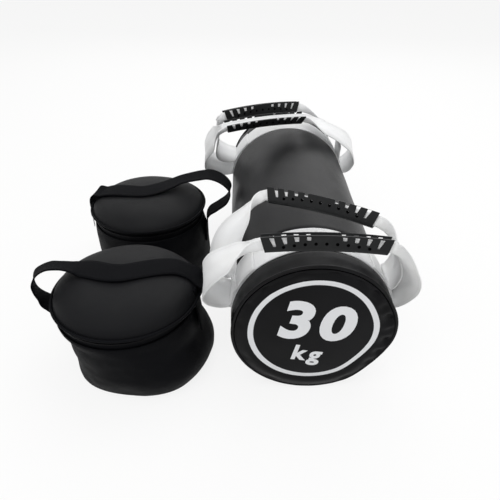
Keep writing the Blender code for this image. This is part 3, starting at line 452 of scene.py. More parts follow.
@cache
def grip_plastic():
    paint = Paint("grip_plastic")
    place = paint.place()
    fine = paint.noise(place, 1400.0, 2.0, 0.5)
    wear = paint.noise(place, 60.0, 4.0, 0.6).between(0.5, 0.8)
    base = colour_of("plastic")
    return paint.set(Base_Color=paint.mix(wear, base, shade(base, 1.7)),
                     Roughness=wear * 0.12 + 0.42, Normal=paint.bump(fine, 0.00008, 0.5),
                     Specular_IOR_Level=0.18)


@cache
def grip_hollow():
    """Painted shade: a near-black copy of the grip plastic for the inside of the grips' round
    holes, standing for their unlit depth.
    """
    paint = Paint("grip_hollow", 0.9)
    fine = paint.noise(paint.place(), 1400.0, 2.0, 0.5)
    return paint.set(Base_Color=paint.mix(fine, (0.0010, 0.0010, 0.0012), (0.0022, 0.0022, 0.0024)),
                     Specular_IOR_Level=0.02)


@cache
def filler_cloth(name="filler_cloth", gloss=0.05):
    """Coated plain-weave cloth, matt with a slight sheen."""
    paint = Paint(name)
    place = paint.place()
    x, y, z = paint.parts(place)
    weave = (x.turned(0.0009) + z.turned(0.0022)).of("SINE") * (
        y.turned(0.0009) - z.turned(0.0022)).of("SINE")
    soft = paint.noise(place, 11.0, 3.0, 0.55)
    base = colour_of("cloth")
    colour = paint.mix(soft.between(0.3, 0.75), base, shade(base, 1.8))
    colour = paint.mix(weave.between(-1.0, 1.0, 0.0, 0.25), colour, shade(base, 2.6))
    return paint.set(Base_Color=colour, Roughness=soft.between(0.3, 0.7, 0.54, 0.66),
                     Normal=paint.bump(weave, 0.00012, 0.5), Specular_IOR_Level=gloss)


def lid_cloth():
    """The same cloth with the shine of its stretched top."""
    return filler_cloth("lid_cloth", 0.13)


@cache
def black_webbing():
    paint = Paint("black_webbing", 0.8)
    u, v, w = paint.parts(paint.stored("along"))
    rib = u.turned(0.0019).of("SINE")
    weave = rib * 0.55 + (v.turned(0.0012) + rib * 0.9).of("SINE") * 0.35
    base = colour_of("cloth")
    return paint.set(
        Base_Color=paint.mix(weave.between(-0.8, 0.8), shade(base, 0.9), shade(base, 2.6)),
        Normal=paint.bump(weave, 0.0003, 0.7), Specular_IOR_Level=0.05)


@cache
def zip_plastic():
    paint = Paint("zip_plastic", 0.45)
    fine = paint.noise(paint.place(), 900.0, 2.0)
    return paint.set(Base_Color=paint.mix(fine, (0.006, 0.006, 0.007), (0.016, 0.016, 0.018)),
                     Normal=paint.bump(fine, 0.00005, 0.5), Specular_IOR_Level=0.2)


@cache
def zip_metal():
    paint = Paint("zip_metal", metallic=1.0)
    place = paint.place()
    brushed = paint.noise(paint.scaled(place, (900.0, 900.0, 90.0)), 1.0, 3.0)
    tarnish = paint.noise(place, 220.0, 4.0).between(0.5, 0.75)
    return paint.set(Base_Color=paint.mix(tarnish * 0.5, (0.62, 0.62, 0.64), (0.30, 0.29, 0.28)),
                     Roughness=brushed * 0.18 + 0.22, Normal=paint.bump(brushed, 0.00003, 0.5))


def toothed(name, centre, upright):
    """Moulded zip teeth that run round a centre, for a lying or a standing ring."""
    paint = Paint(name + "_zip_teeth")
    x, y, z = paint.parts(paint.place())
    turn = ((z if upright else y) - centre[1]).of("ARCTAN2", x - centre[0])
    count = round(FULL_TURN * (ZIP_RADIUS if upright else FILLER_RADIUS) / ZIP_PITCH)
    tooth = (turn * count).of("SINE").between(-0.5, 0.5)
    fine = paint.noise(paint.place(), 900.0, 2.0)
    colour = paint.mix(tooth * 0.8 + fine * 0.2, (0.0015, 0.0015, 0.002), (0.0070, 0.0070, 0.0080))
    return paint.set(Base_Color=colour, Normal=paint.bump(tooth, 0.0005, 0.8),
                     Specular_IOR_Level=0.06)


@cache
def foam():
    paint = Paint("foam", 0.95)
    holes = paint.cells(paint.place(), 700.0)
    return paint.set(Base_Color=paint.mix(holes, (0.20, 0.20, 0.21), (0.34, 0.34, 0.35)),
                     Normal=paint.bump(holes, 0.0004, 0.6))


@cache
def sand_sack():
    """Woven sack cloth over packed sand."""
    paint = Paint("sand_sack", 0.85)
    x, y, z = paint.parts(paint.place())
    weave = y.turned(0.0030).of("SINE") * (x + z).turned(0.0030).of("SINE")
    lumps = paint.noise(paint.place(), 45.0, 4.0)
    colour = paint.mix(weave.between(-1.0, 1.0), (0.46, 0.41, 0.31), (0.66, 0.60, 0.47))
    return paint.set(Base_Color=colour, Normal=paint.bump(weave * 0.3 + lumps, 0.0008, 0.6))


def stretched(low, high, count):
    return [low + (high - low) * index / (count - 1) for index in range(count)]


def smooth_step(value, low, high):
    share = min(1.0, max(0.0, (value - low) / (high - low)))
    return share * share * (3.0 - 2.0 * share)


def bump_at(value, centre, width):
    """A smooth hill of height 1 around a centre."""
    distance = abs(value - centre) / width
    return (1.0 - distance * distance) ** 2 if distance < 1.0 else 0.0


def turn_gap(angle, other):
    """The smaller turn between two angles, in degrees, with its sign."""
    return (angle - other + 180.0) % 360.0 - 180.0


def lump(*place):
    """Smooth noise at a place."""
    return noise.noise(Vector(place))


def rounded_max(height, floor, reach):
    """The higher of two heights, with the corner between them rounded."""
    if reach <= 0.0:
        return max(height, floor)
    share = max(0.0, 1.0 - abs(height - floor) / reach)
    return max(height, floor) + reach * share * share / 4


def settled(x, z, reach=0.004):
    """Height of a point of the long bag once its underside is pressed flat."""
    radius = math.hypot(x, z)
    share = min(1.0, max(0.0, (radius - BAG_RADIUS + BAG_SETTLE + 0.015) / 0.015))
    return rounded_max(z + AXIS_HEIGHT, AXIS_HEIGHT - radius + BAG_SETTLE * share, reach * share)


def near_pinch(angle, from_end):
    """How far the marked end's rim stands out of round at a turn and a distance from the end."""
    fade = 1.0 - smooth_step(from_end, 0.0, 0.050)
    return fade * sum(amount * bump_at(turn_gap(angle, centre), 0.0, width)
                      for centre, width, amount in NEAR_PINCHES)


def lying(x, along, z):
    """Where a point of the long bag, given from its axis, comes to lie on the floor."""
    radius = math.hypot(x, z)
    from_end = max(0.0, along + HALF_LENGTH)
    if radius > 0.0:
        pinch = near_pinch(math.degrees(math.atan2(z, x)), from_end)
        grown = 1.0 + pinch * radius / BAG_RADIUS ** 2
        x *= grown
        z *= grown
    flat = settled(x, z)
    pressed = BAG_SETTLE * max(0.0, -z) / BAG_RADIUS * (radius / BAG_RADIUS) ** 4
    firm = 1.0 - smooth_step(from_end, 0.004, 0.050)
    return (x, along, flat + (z + AXIS_HEIGHT + pressed - flat) * firm)


def finish_piece(name, bm, look, body, replaced=(), sharp=60.0, outward=True):
    """Make an object from a bmesh in world coordinates and hang it on its body."""
    if outward:
        bmesh.ops.recalc_face_normals(bm, faces=bm.faces)
        if body in HEARTS:
            bm.normal_update()
            heart = Vector(HEARTS[body])
            if sum(face.normal.dot(face.calc_center_median() - heart) * face.calc_area()
                   for face in bm.faces) < 0:
                bmesh.ops.reverse_faces(bm, faces=bm.faces)
    mesh = bpy.data.meshes.new(name)
    bm.to_mesh(mesh)
    bm.free()
    mesh.shade_smooth()
    mesh.set_sharp_from_angle(angle=math.radians(sharp))
    mesh.materials.append(look)
    piece = bpy.data.objects.new(name, mesh)
    bpy.context.scene.collection.objects.link(piece)
    if body is not None:
        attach(piece, body)
    if replaced:
        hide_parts(*replaced)
    return piece


def dress(node, look):
    """Give a CAD node that stays a material of its own."""
    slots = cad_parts[node].data.materials
    slots.clear()
    slots.append(look)


def walled(piece, thickness, offset=-1.0):
    """Give an open surface the thickness of its cloth."""
    wall = piece.modifiers.new("wall", "SOLIDIFY")
    wall.thickness = thickness
    wall.offset = offset
    return piece


def pulled_out(bm, edges):
    """Extrude edges and give their new vertices."""
    made = bmesh.ops.extrude_edge_only(bm, edges=edges)["geom"]
    return [item for item in made if isinstance(item, bmesh.types.BMVert)]


def spun(outline, steps, axis, closed=False):
    """Spin an outline of (radius, along) points once round Y or Z."""
    bm = bmesh.new()
    upright = axis == "Z"
    points = [bm.verts.new((radius, 0.0, along) if upright else (radius, along, 0.0))
              for radius, along in outline]
    following = points[1:] + (points[:1] if closed else [])
    edges = [bm.edges.new(pair) for pair in zip(points, following)]
    bmesh.ops.spin(bm, geom=points + edges, cent=(0.0, 0.0, 0.0), angle=FULL_TURN, steps=steps,
                   axis=(0.0, 0.0, 1.0) if upright else (0.0, 1.0, 0.0), use_merge=True)
    bmesh.ops.remove_doubles(bm, verts=bm.verts, dist=0.00002)
    return bm


def ring(radius, along, wide, high, count):
    """Points round a small oval at a distance from the axis, as (radius, along)."""
    return [(radius + wide * math.cos(FULL_TURN * index / count),
             along + high * math.sin(FULL_TURN * index / count)) for index in range(count)]


def sack_corners(full, low, low_round, high, high_round):
    """The two rounded corners in the outline of a stuffed sack, as (radius, along)."""
    turns = stretched(0.0, math.pi / 2, 9)
    return ([(full - low_round + low_round * math.sin(turn),
              low + low_round - low_round * math.cos(turn)) for turn in turns],
            [(full - high_round + high_round * math.cos(turn),
              high - high_round + high_round * math.sin(turn)) for turn in turns])


def swept(sections, spots):
    """Extrude a line of points through a list of sections, keeping distances across and along."""
    bm = bmesh.new()
    layer = bm.loops.layers.uv.new("along")
    row = [bm.verts.new(point) for point in sections[0]]
    marks = {vertex: (spot, 0.0) for vertex, spot in zip(row, spots)}
    edges = [bm.edges.new(pair) for pair in zip(row, row[1:])]
    middle = len(row) // 2
    travelled = 0.0
    for before, section in zip(sections, sections[1:]):
        made = bmesh.ops.extrude_edge_only(bm, edges=edges)["geom"]
        travelled += (Vector(section[middle]) - Vector(before[middle])).length
        fresh = {item for item in made if isinstance(item, bmesh.types.BMVert)}
        edges = [item for item in made if isinstance(item, bmesh.types.BMEdge)
                 and item.verts[0] in fresh and item.verts[1] in fresh]
        row = [next(edge.other_vert(vertex) for edge in vertex.link_edges
                    if edge.other_vert(vertex) in fresh) for vertex in row]
        for vertex, point, spot in zip(row, section, spots):
            vertex.co = point
            marks[vertex] = (spot, travelled)
    for face in bm.faces:
        for loop in face.loops:
            loop[layer].uv = marks[loop.vert]
    return bm


def smooth_line(points, pieces):
    """Points on a smooth curve through the given ones, with even pieces between each two."""
    line = []
    last = len(points) - 1
    for index in range(last):
        before, start, end, after = (
            points[min(max(index + step, 0), last)] for step in (-1, 0, 1, 2))
        for step in range(pieces):
            t = step / pieces
            line.append(
                0.5 * (2 * start + (end - before) * t
                       + (2 * before - 5 * start + 4 * end - after) * t ** 2
                       + (3 * start - before - 3 * end + after) * t ** 3))
    line.append(points[-1])
    return line


def seam_folds(angle, from_seam, flip=False):
    """Depth of the folds at a turn and a distance from the seam."""
    depth = 0.0
    for centre, width, amount, reach in NEAR_FOLDS:
        if flip:
            centre = 180.0 - centre
        fade = 1.0 - smooth_step(from_seam, reach * 0.25, reach)
        spread = width * (1.0 + from_seam / reach * 0.6)
        depth += amount * fade * bump_at(turn_gap(angle, centre), 0.0, spread)
    return depth


def tube_radius(along):
    """Radius of the tube: drawn in under each band and at the seams, a little full between."""
    end = abs(along)
    inner = BAND_PLACE - sizes().web_width / 2
    outer = BAND_PLACE + sizes().web_width / 2
    seat = smooth_step(end, inner - 0.006, inner + 0.001) - (
        smooth_step(end, outer - 0.001, outer + 0.006))
    full = BAG_RADIUS + 0.0006 * bump_at(end, 0.090, 0.090)
    drawn_in = 0.0016 * smooth_step(end, HALF_LENGTH - 0.020, HALF_LENGTH - SEAM)
    return full - (WEB_THICKNESS + GAP) * seat - drawn_in


def shape_tube(bm):
    """Settle the tube and give its leather its puckers and soft dents."""
    for vertex in bm.verts:
        x, along, z = vertex.co
        radius = math.hypot(x, z)
        angle = math.degrees(math.atan2(z, x))
        from_seam = max(0.0, HALF_LENGTH - SEAM - abs(along))
        depth = 0.6 * seam_folds(angle, from_seam, flip=along > 0)
        swell = lump(x * 14.0, along * 7.0, z * 14.0) * 0.0008
        ripple = lump(x * 60.0, along * 26.0, z * 60.0) * 0.00025
        free = 1.0 - 0.7 * bump_at(abs(along), BAND_PLACE, 0.035)
        grown = (radius - depth + (swell + ripple) * free) / radius
        x, along, z = lying(x * grown, along, z * grown)
        vertex.co = (x, along, max(z, 0.0))


def near_height(x, z):
    """How far the near end stands out from its seam plane at a point given from the axis."""
    radius = math.hypot(x, z)
    angle = math.degrees(math.atan2(z, x))
    from_seam = NECK_RADIUS - radius
    share = min(1.0, radius / NECK_RADIUS)
    dome = END_DOME * (1.0 - share ** 2.6) ** 0.85
    roll = 0.0018 * bump_at(radius, NECK_RADIUS - 0.012, 0.012)
    upper = smooth_step(angle, 15.0, 50.0) * (1.0 - smooth_step(angle, 130.0, 165.0))
    crease = 0.0030 * upper * bump_at(radius, NECK_RADIUS * 0.925, 0.0060)
    depth = 1.5 * seam_folds(angle, max(0.0, from_seam)) * smooth_step(from_seam, 0.0, 0.004)
    loose = lump(x * 22.0, 3.7, z * 22.0) * 0.0009
    return dome + roll - crease - depth + loose * smooth_step(from_seam, 0.0, 0.01)


def long_bag_pieces():
    """The leather tube and the cord piping of both ends."""
    edge = HALF_LENGTH - 2 * PIPING_RADIUS - GAP
    stations = set(stretched(-edge, edge, 181)) | {
        side * (BAND_PLACE + part * 0.025) for side in SIDES for part in SIDES}
    stations = sorted({round(along, 5) for along in stations})
    lip = BAG_RADIUS - 0.0045
    outline = [(lip, stations[0] + 0.0005)]
    outline += [(tube_radius(along), along) for along in stations]
    outline.append((lip, stations[-1] - 0.0005))
    bm = spun(outline, BAG_STEPS, "Y")
    shape_tube(bm)
    tube = finish_piece("tube_leather", bm, bag_leather(), "long_bag", ("main_shell",))
    walled(tube, BAG_WALL)
    for name, side in (("near", -1), ("far", 1)):
        cord = ring(BAG_RADIUS - PIPING_RADIUS, side * (HALF_LENGTH - PIPING_RADIUS),
                    PIPING_RADIUS, PIPING_RADIUS, 14)
        bm = spun(cord, BAG_STEPS, "Y", closed=True)
        for vertex in bm.verts:
            x, along, z = vertex.co
            angle = math.atan2(z, x)
            wave = lump(math.cos(angle) * 9.0, side * 3.0, math.sin(angle) * 9.0) * 0.0003
            x, along, z = lying(x, along, z)
            vertex.co = (x, along + wave, z)
        finish_piece(name + "_piping_leather", bm, bag_leather(), "long_bag",
                     (name + "_end_piping",))


def disc_outline(rim, count):
    return [(rim * (index / (count - 1)), 0.0) for index in range(count)]


def near_end_pieces():
    """The marked end: domed leather with folds at its seam, its ring and its weight."""
    bm = spun(disc_outline(NECK_RADIUS, 56), DISC_STEPS, "Y")
    lip = set(pulled_out(bm, [edge for edge in bm.edges if edge.is_boundary]))
    layer = bm.loops.layers.uv.new("print")
    for face in bm.faces:
        for loop in face.loops:
            loop[layer].uv = loop.vert.co.xz
    for vertex in bm.verts:
        x, along, z = vertex.co
        out = -END_LIP if vertex in lip else near_height(x, z)
        x, along, z = lying(x, -HALF_LENGTH, z)
        vertex.co = (x, along - out, z)
    disc = finish_piece("near_end_leather", bm, printed_leather(), "long_bag", ("near_end_disc",))
    walled(disc, BAG_WALL)
    for row in MARKINGS:
        marking(*row)


def marking(name, words, height, centre, spacing, thickening, widening):
    """Bold slanted lettering laid on the domed leather."""
    curve = bpy.data.curves.new(name, "FONT")
    curve.body = words
    curve.size = 1.0
    curve.shear = 0.09
    curve.offset = thickening
    curve.space_character = spacing
    curve.resolution_u = 6
    written = bpy.data.objects.new(name, curve)
    bpy.context.scene.collection.objects.link(written)
    bpy.context.view_layer.update()
    mesh = bpy.data.meshes.new_from_object(written)
    bpy.data.objects.remove(written, do_unlink=True)
    bm = bmesh.new()
    bm.from_mesh(mesh)
    bpy.data.meshes.remove(mesh)
    bmesh.ops.remove_doubles(bm, verts=bm.verts, dist=0.0005)
    for cut in range(-8, 20):
        for normal in ((1.0, 0.0, 0.0), (0.0, 1.0, 0.0)):
            geometry = list(bm.verts) + list(bm.edges) + list(bm.faces)
            bmesh.ops.bisect_plane(bm, geom=geometry, plane_co=Vector(normal) * cut * 0.1,
                                   plane_no=normal)
    low, high = (Vector((choose(v.co.x for v in bm.verts), choose(v.co.y for v in bm.verts), 0.0))
                 for choose in (min, max))
    scale = getattr(sizes(), height) / (high.y - low.y)
    middle = (low + high) / 2
    tilt = math.radians(MARKING_TILT)
    for vertex in bm.verts:
        flat = (vertex.co - middle) * scale
        flat.x *= widening
        flat.y *= 1.0 - 1.4 * flat.x
        x = centre[0] + flat.x * math.cos(tilt) - flat.y * math.sin(tilt)
        z = centre[1] + flat.x * math.sin(tilt) + flat.y * math.cos(tilt)
        out = near_height(x, z) + 0.00025
        x, along, z = lying(x, -HALF_LENGTH, z)
        vertex.co = (x, along - out, z)
    bmesh.ops.recalc_face_normals(bm, faces=bm.faces)
    if sum(face.normal.y for face in bm.faces) > 0:
        bmesh.ops.reverse_faces(bm, faces=bm.faces)
    finish_piece(name, bm, printed_white(), "long_bag", outward=False)


def channel(radius, leg, spread, segments):
    """The middle line of a U channel: left tip, round the core, right tip, as (across, up)."""
    lean = math.radians(spread)
    tip = (-radius * math.cos(lean) - leg * math.sin(lean),
           -radius * math.sin(lean) + leg * math.cos(lean))
    angles = [-math.pi + lean + (math.pi - 2 * lean) * index / segments
              for index in range(segments + 1)]
    return [tip] + [(radius * math.cos(angle), radius * math.sin(angle)) for angle in angles] + [
        (-tip[0], tip[1])]


def grip_frame(centre, yaw, roll):
    """Centre, length, width and opening directions of a grip."""
    turn = math.radians(yaw)
    tilt = math.radians(roll)
    length = Vector((math.cos(turn), math.sin(turn), 0.0))
    width = Vector((-math.sin(turn), math.cos(turn), 0.0))
    up = Vector((0.0, 0.0, 1.0))
    opening = math.cos(tilt) * up + math.sin(tilt) * width
    breadth = math.cos(tilt) * width - math.sin(tilt) * up
    return Vector(centre), length, breadth, opening


def grip_point(shape, station, across, up):
    centre, length, breadth, opening = shape
    bowed = -GRIP_ARCH * (2 * station / GRIP_LENGTH) ** 2
    return centre + length * station + breadth * across + opening * (up + bowed)


def prism(bm, low_ring, high_ring, look):
    """A straight solid between two equal rings."""
    low = [bm.verts.new(point) for point in low_ring]
    high = [bm.verts.new(point) for point in high_ring]
    edges = [bm.edges.new(pair) for loop in (low, high) for pair in zip(loop, loop[1:] + loop[:1])]
    sides = bmesh.ops.bridge_loops(bm, edges=edges)["faces"]
    for face in sides + [bm.faces.new(low), bm.faces.new(high)]:
        face.material_index = look


def grip_openings():
    """Outlines of a grip's windows and holes, as (station, up), and the height of each hole."""
    outlines = []
    top = FLANGE_HEIGHT - 0.0026
    for side in SIDES:
        for middle, width, depth, slant, foot in WINDOW_SIZES:
            corners = [(middle - width / 2, top), (middle + width / 2, top),
                       (middle - slant + foot / 2, top - depth),
                       (middle - slant - foot / 2, top - depth)]
            outlines.append(([(side * station, up) for station, up in corners], None))
    for index in range(-4, 5):
        height = 0.0050 - 0.0035 * (index / 4) * (index / 4)
        outlines.append((ring(HOLE_PITCH * index, height, HOLE_RADIUS, HOLE_RADIUS, 16), height))
    return outlines


def carve(piece, shape, spread):
    """Cut a grip's windows through both its walls, and its round holes half way into each."""
    tools = bmesh.new()
    reach = GRIP_CORE_RADIUS + FLANGE_HEIGHT
    lean = math.radians(spread)
    for outline, hole in grip_openings():
        spans = [(-reach, reach)]
        if hole is not None:
            stop = (GRIP_CORE_RADIUS * math.cos(lean)
                    + (hole + GRIP_CORE_RADIUS * math.sin(lean)) * math.tan(lean) - 0.0004)
            spans = [(-reach, -stop), (stop, reach)]
        for span in spans:
            low, high = ([grip_point(shape, station, across, up) for station, up in outline]
                         for across in span)
            prism(tools, low, high, 0 if hole is None else 1)
    tool = finish_piece("cutter", tools, grip_plastic(), None, sharp=GRIP_SHARP)
    # the round holes take material slot 1, the painted-shade plastic that is darker than the grip
    tool.data.materials.append(grip_hollow())
    cut = piece.modifiers.new("windows", "BOOLEAN")
    cut.operation = "DIFFERENCE"
    cut.solver = "EXACT"
    cut.material_mode = "TRANSFER"
    cut.object = tool
    bpy.context.view_layer.update()
    made = piece.evaluated_get(bpy.context.evaluated_depsgraph_get())
    piece.data = bpy.data.meshes.new_from_object(made)
    piece.modifiers.clear()
    bpy.data.objects.remove(tool, do_unlink=True)
    piece.data.set_sharp_from_angle(angle=math.radians(GRIP_SHARP))


def grip_piece(name, shape, spread):
    """A moulded channel grip with slanted ends, windows and a row of holes."""
    line = channel(GRIP_CORE_RADIUS, FLANGE_HEIGHT, spread, 10)
    half = GRIP_LENGTH / 2
    height = GRIP_CORE_RADIUS + FLANGE_HEIGHT
    sections = []
    for station in stretched(-half, half, GRIP_STATIONS):
        slant = END_SLANT if abs(station) > half - 0.0001 else 0.0
        places = [station - math.copysign(slant * (1.0 - (up + GRIP_CORE_RADIUS) / height), station)
                  for across, up in line]
        sections.append([grip_point(shape, place, across, up)
                         for place, (across, up) in zip(places, line)])
    bm = swept(sections, [across for across, up in line])
    piece = finish_piece(name + "_grip_moulded", bm, grip_plastic(), None, sharp=GRIP_SHARP)
    walled(piece, GRIP_WALL, 0.0).modifiers["wall"].use_even_offset = True
    carve(piece, shape, spread)
    soften = piece.modifiers.new("soft edges", "BEVEL")
    soften.width = 0.0003
    soften.segments = 2
    soften.limit_method = "ANGLE"
    soften.angle_limit = math.radians(50.0)
    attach(piece, name + "_handle")
    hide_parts(name + "_grip")


def handle_route(root, tip, bulge, side):
    """Route of one side of a handle from the sewn tail on the bag to the end of its grip."""
    points = []
    for shares, start, span in (
            (SIDE_SHARES, root.x, side * (bulge - abs(root.x))),
            (REACH_SHARES, tip.x, side * bulge - tip.x)):
        for out, up in shares:
            place = root + (tip - root) * up
            place.x = start + out * span
            points.append(place)
    return points + [tip]


def sewn_tail(root, side, down):
    """The end of a strap lying flat on the bag below the place where it leaves."""
    places = []
    for share in (1.0, 0.66, 0.33):
        height = root.z - AXIS_HEIGHT - down * share
        reach = math.sqrt((BAG_RADIUS + 0.0031) ** 2 - height ** 2)
        places.append(Vector((side * reach, root.y, AXIS_HEIGHT + height)))
    return places


def strap_piece(name, shape, spread, root, bulges, rolls, tail):
    """One strap of webbing: sewn to the bag at both ends and folded to a U inside its grip."""
    centre, length, breadth, opening = shape
    half = GRIP_LENGTH / 2
    ends = [grip_point(shape, side * half, 0.0, 0.0) for side in SIDES]
    roots = [Vector((side * root.x, root.y, root.z)) for side in SIDES]
    loops = [smooth_line(sewn_tail(low, side, tail) + handle_route(low, tip, bulge, side), 7)
             for side, low, tip, bulge in zip(SIDES, roots, ends, bulges)]
    middle = [grip_point(shape, half * (-1 + 2 * step / 16), 0.0, 0.0) for step in range(1, 16)]
    line = loops[0] + middle + loops[1][::-1]
    rises = [tip - low for low, tip in zip(roots, ends)]
    leans = [math.atan2(-rise.y, rise.z) for rise in rises]
    wides = [Vector((0.0, math.cos(lean), math.sin(lean))) for lean in leans]

    core = GRIP_CORE_RADIUS - GRIP_WALL / 2 - WEB_THICKNESS / 2 - 0.0005
    folded = [(across, up + 0.0006)
              for across, up in channel(core, FLANGE_HEIGHT - 0.0042, spread, 8)]
    run = [0.0]
    for first, second in zip(folded, folded[1:]):
        run.append(run[-1] + math.dist(first, second))
    flat = [spot / run[-1] - 0.5 for spot in run]
    width = sizes().web_width

    sections = []
    last = len(line) - 1
    count = len(loops[0]) - 1
    for index, place in enumerate(line):
        share = min(index, last - index) / count
        hand = 0 if index <= count else 1
        base, near_tip, roll = wides[hand], ends[hand], rolls[hand]
        if share > 1.0:
            share, base, near_tip, roll = 1.0, breadth, place, 0.0
        if share == 1.0:
            tangent = length
        else:
            tangent = (line[min(index + 1, last)] - line[max(index - 1, 0)]).normalized()
        leaning = Vector((0.0, 1.0, 0.0)).lerp(base, smooth_step(share, 0.15, 0.6))
        wide = leaning.lerp(breadth, smooth_step(share, 0.70, 1.0))
        wide = (wide - tangent * wide.dot(tangent)).normalized()
        turn = math.radians(roll) * bump_at(share, 0.68, 0.46) * (
            1.0 - smooth_step(share, 0.88, 1.0))
        wide = wide * math.cos(turn) - wide.cross(tangent) * math.sin(turn)
        inner = wide.cross(tangent)
        fold = 1.0 - smooth_step((place - near_tip).length, 0.0, 0.042)
        section = []
        for (across, up), spot in zip(folded, flat):
            sag = 0.0012 * lump(place.x * 30.0, place.y * 30.0, spot * 3.0 + place.z * 30.0)
            crown = 0.0014 * (1.0 - 4 * spot * spot) * smooth_step(share, 0.3, 0.6) * (1.0 - fold)
            wide_at = across * fold + spot * width * (1.0 - fold)
            up_at = up * fold + (sag - crown) * (1.0 - fold) * smooth_step(share, 0.2, 0.4)
            section.append(place + wide * wide_at - inner * up_at)
        sections.append(section)
    bm = swept(sections, [spot * width for spot in flat])
    piece = finish_piece(name + "_webbing", bm, white_webbing(), None, (name + "_strap",))
    walled(piece, WEB_THICKNESS, 0.0)
    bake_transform(piece)


def handle_pieces():
    """The four moulded grips and their straps."""
    for name, end, rise, reach, centre, yaw, roll, spread, bulges, rolls in HANDLES:
        across = math.sqrt(BAG_RADIUS ** 2 - rise ** 2) + reach
        root = Vector((across, end * BAND_PLACE, AXIS_HEIGHT + rise))
        shape = grip_frame(centre, yaw, roll)
        grip_piece(name, shape, spread)
        strap_piece(name, shape, spread, root, bulges, rolls, 0.005 if rise < 0.03 else 0.010)


def band_pieces():
    """The webbing bands round the bag and the sewn patches at their sides."""
    width = sizes().web_width
    for name, side in (("near", -1), ("far", 1)):
        centre = side * BAND_PLACE
        outline = [(BAG_RADIUS, centre + width * (step / 16 - 0.5)) for step in range(17)]
        bm = spun(outline, BAG_STEPS, "Y")
        layer = bm.loops.layers.uv.new("along")
        for face in bm.faces:
            angles = [math.atan2(loop.vert.co.z, loop.vert.co.x) for loop in face.loops]
            wrap = max(angles) - min(angles) > math.pi
            for loop, angle in zip(face.loops, angles):
                if wrap and angle < 0:
                    angle += FULL_TURN
                loop[layer].uv = (loop.vert.co.y - centre, angle * BAG_RADIUS)
        for vertex in bm.verts:
            x, along, z = vertex.co
            lift = 1.0 + lump(x * 25.0, along * 12.0, z * 25.0) * 0.0004 / BAG_RADIUS
            vertex.co = lying(x * lift, along, z * lift)
        band = finish_piece(name + "_band_webbing", bm, white_webbing(), "long_bag",
                            (name + "_band",))
        walled(band, WEB_THICKNESS)
        spots = [width * share for share in stretched(-0.5, 0.5, 9)]
        reach = BAG_RADIUS + GAP + WEB_THICKNESS / 2
        for hand, start in PATCHES:
            angles = [math.radians(start) + math.radians(PATCH_TURN) * step / 24
                      for step in range(25)]
            bm = swept([[Vector((reach * math.cos(angle), centre + spot,
                                 AXIS_HEIGHT + reach * math.sin(angle))) for spot in spots]
                        for angle in angles], spots)
            patch = finish_piece(f"{name}_{hand}_sewn_patch", bm, white_webbing(), "long_bag",
                                 (f"{name}_{hand}_patch",))
            walled(patch, WEB_THICKNESS, 0.0)


def far_height(x, z):
    """How far the zipped end stands out from its seam plane at a point given from the axis."""
    share = min(1.0, math.hypot(x, z) / NECK_RADIUS)
    for (low, first), (high, last) in zip(FAR_DOME_SHARES, FAR_DOME_SHARES[1:]):
        if share <= high:
            return END_DOME * (first + (last - first) * ((share - low) / (high - low)))


def far_end_pieces():
    """The zipped end: its sewn rim and its folding flap."""
    close = 0.0001
    bm = spun([(radius, 0.0) for radius in stretched(ZIP_RADIUS, NECK_RADIUS, 11)], BAG_STEPS, "Y")
    chord = [edge for edge in bm.edges if edge.is_boundary
             and all(math.hypot(vertex.co.x, vertex.co.z) < ZIP_RADIUS + close
                     and vertex.co.z < close - CHORD_DROP for vertex in edge.verts)]
    for vertex in pulled_out(bm, chord):
        vertex.co.z = -CHORD_DROP
    lip = set(pulled_out(bm, [
        edge for edge in bm.edges if edge.is_boundary
        and all(math.hypot(v.co.x, v.co.z) > NECK_RADIUS - close for v in edge.verts)]))
    for vertex in bm.verts:
        x, along, z = vertex.co
        out = -END_LIP if vertex in lip else far_height(x, z)
        vertex.co = (x, HALF_LENGTH + out, settled(x, z))
    rim = finish_piece("far_rim_leather", bm, bag_leather(), "long_bag", ("far_end_rim",))
    walled(rim, FAR_WALL)

    bm = spun(disc_outline(ZIP_RADIUS - FLAP_GAP, 40), BAG_STEPS, "Y")
    bmesh.ops.bisect_plane(bm, geom=list(bm.verts) + list(bm.edges) + list(bm.faces),
                           plane_co=(0.0, 0.0, FLAP_GAP - CHORD_DROP), plane_no=(0.0, 0.0, 1.0),
                           clear_inner=True)
    for vertex in bm.verts:
        x, along, z = vertex.co
        loose = lump(x * 24.0, 9.1, z * 24.0) * 0.0005 * (1.0 - math.hypot(x, z) / ZIP_RADIUS)
        vertex.co = (x, HALF_LENGTH + far_height(x, z) + loose, z + AXIS_HEIGHT)
    flap = finish_piece("far_flap_leather", bm, bag_leather(), "far_flap", ("far_flap",))
    walled(flap, FAR_WALL)


def sagged(height, angle):
    """How far the front filler bag's side is sunk in on the left and full on the right."""
    sunk = smooth_step(0.1045 - height, 0.0, 0.022) * (
        0.35 + 0.65 * smooth_step(height, 0.0, 0.050))
    left = 0.012 * sunk * max(0.0, -math.cos(angle - 0.2))
    return left, 0.013 * bump_at(height, 0.030, 0.044) * max(0.0, math.cos(angle))


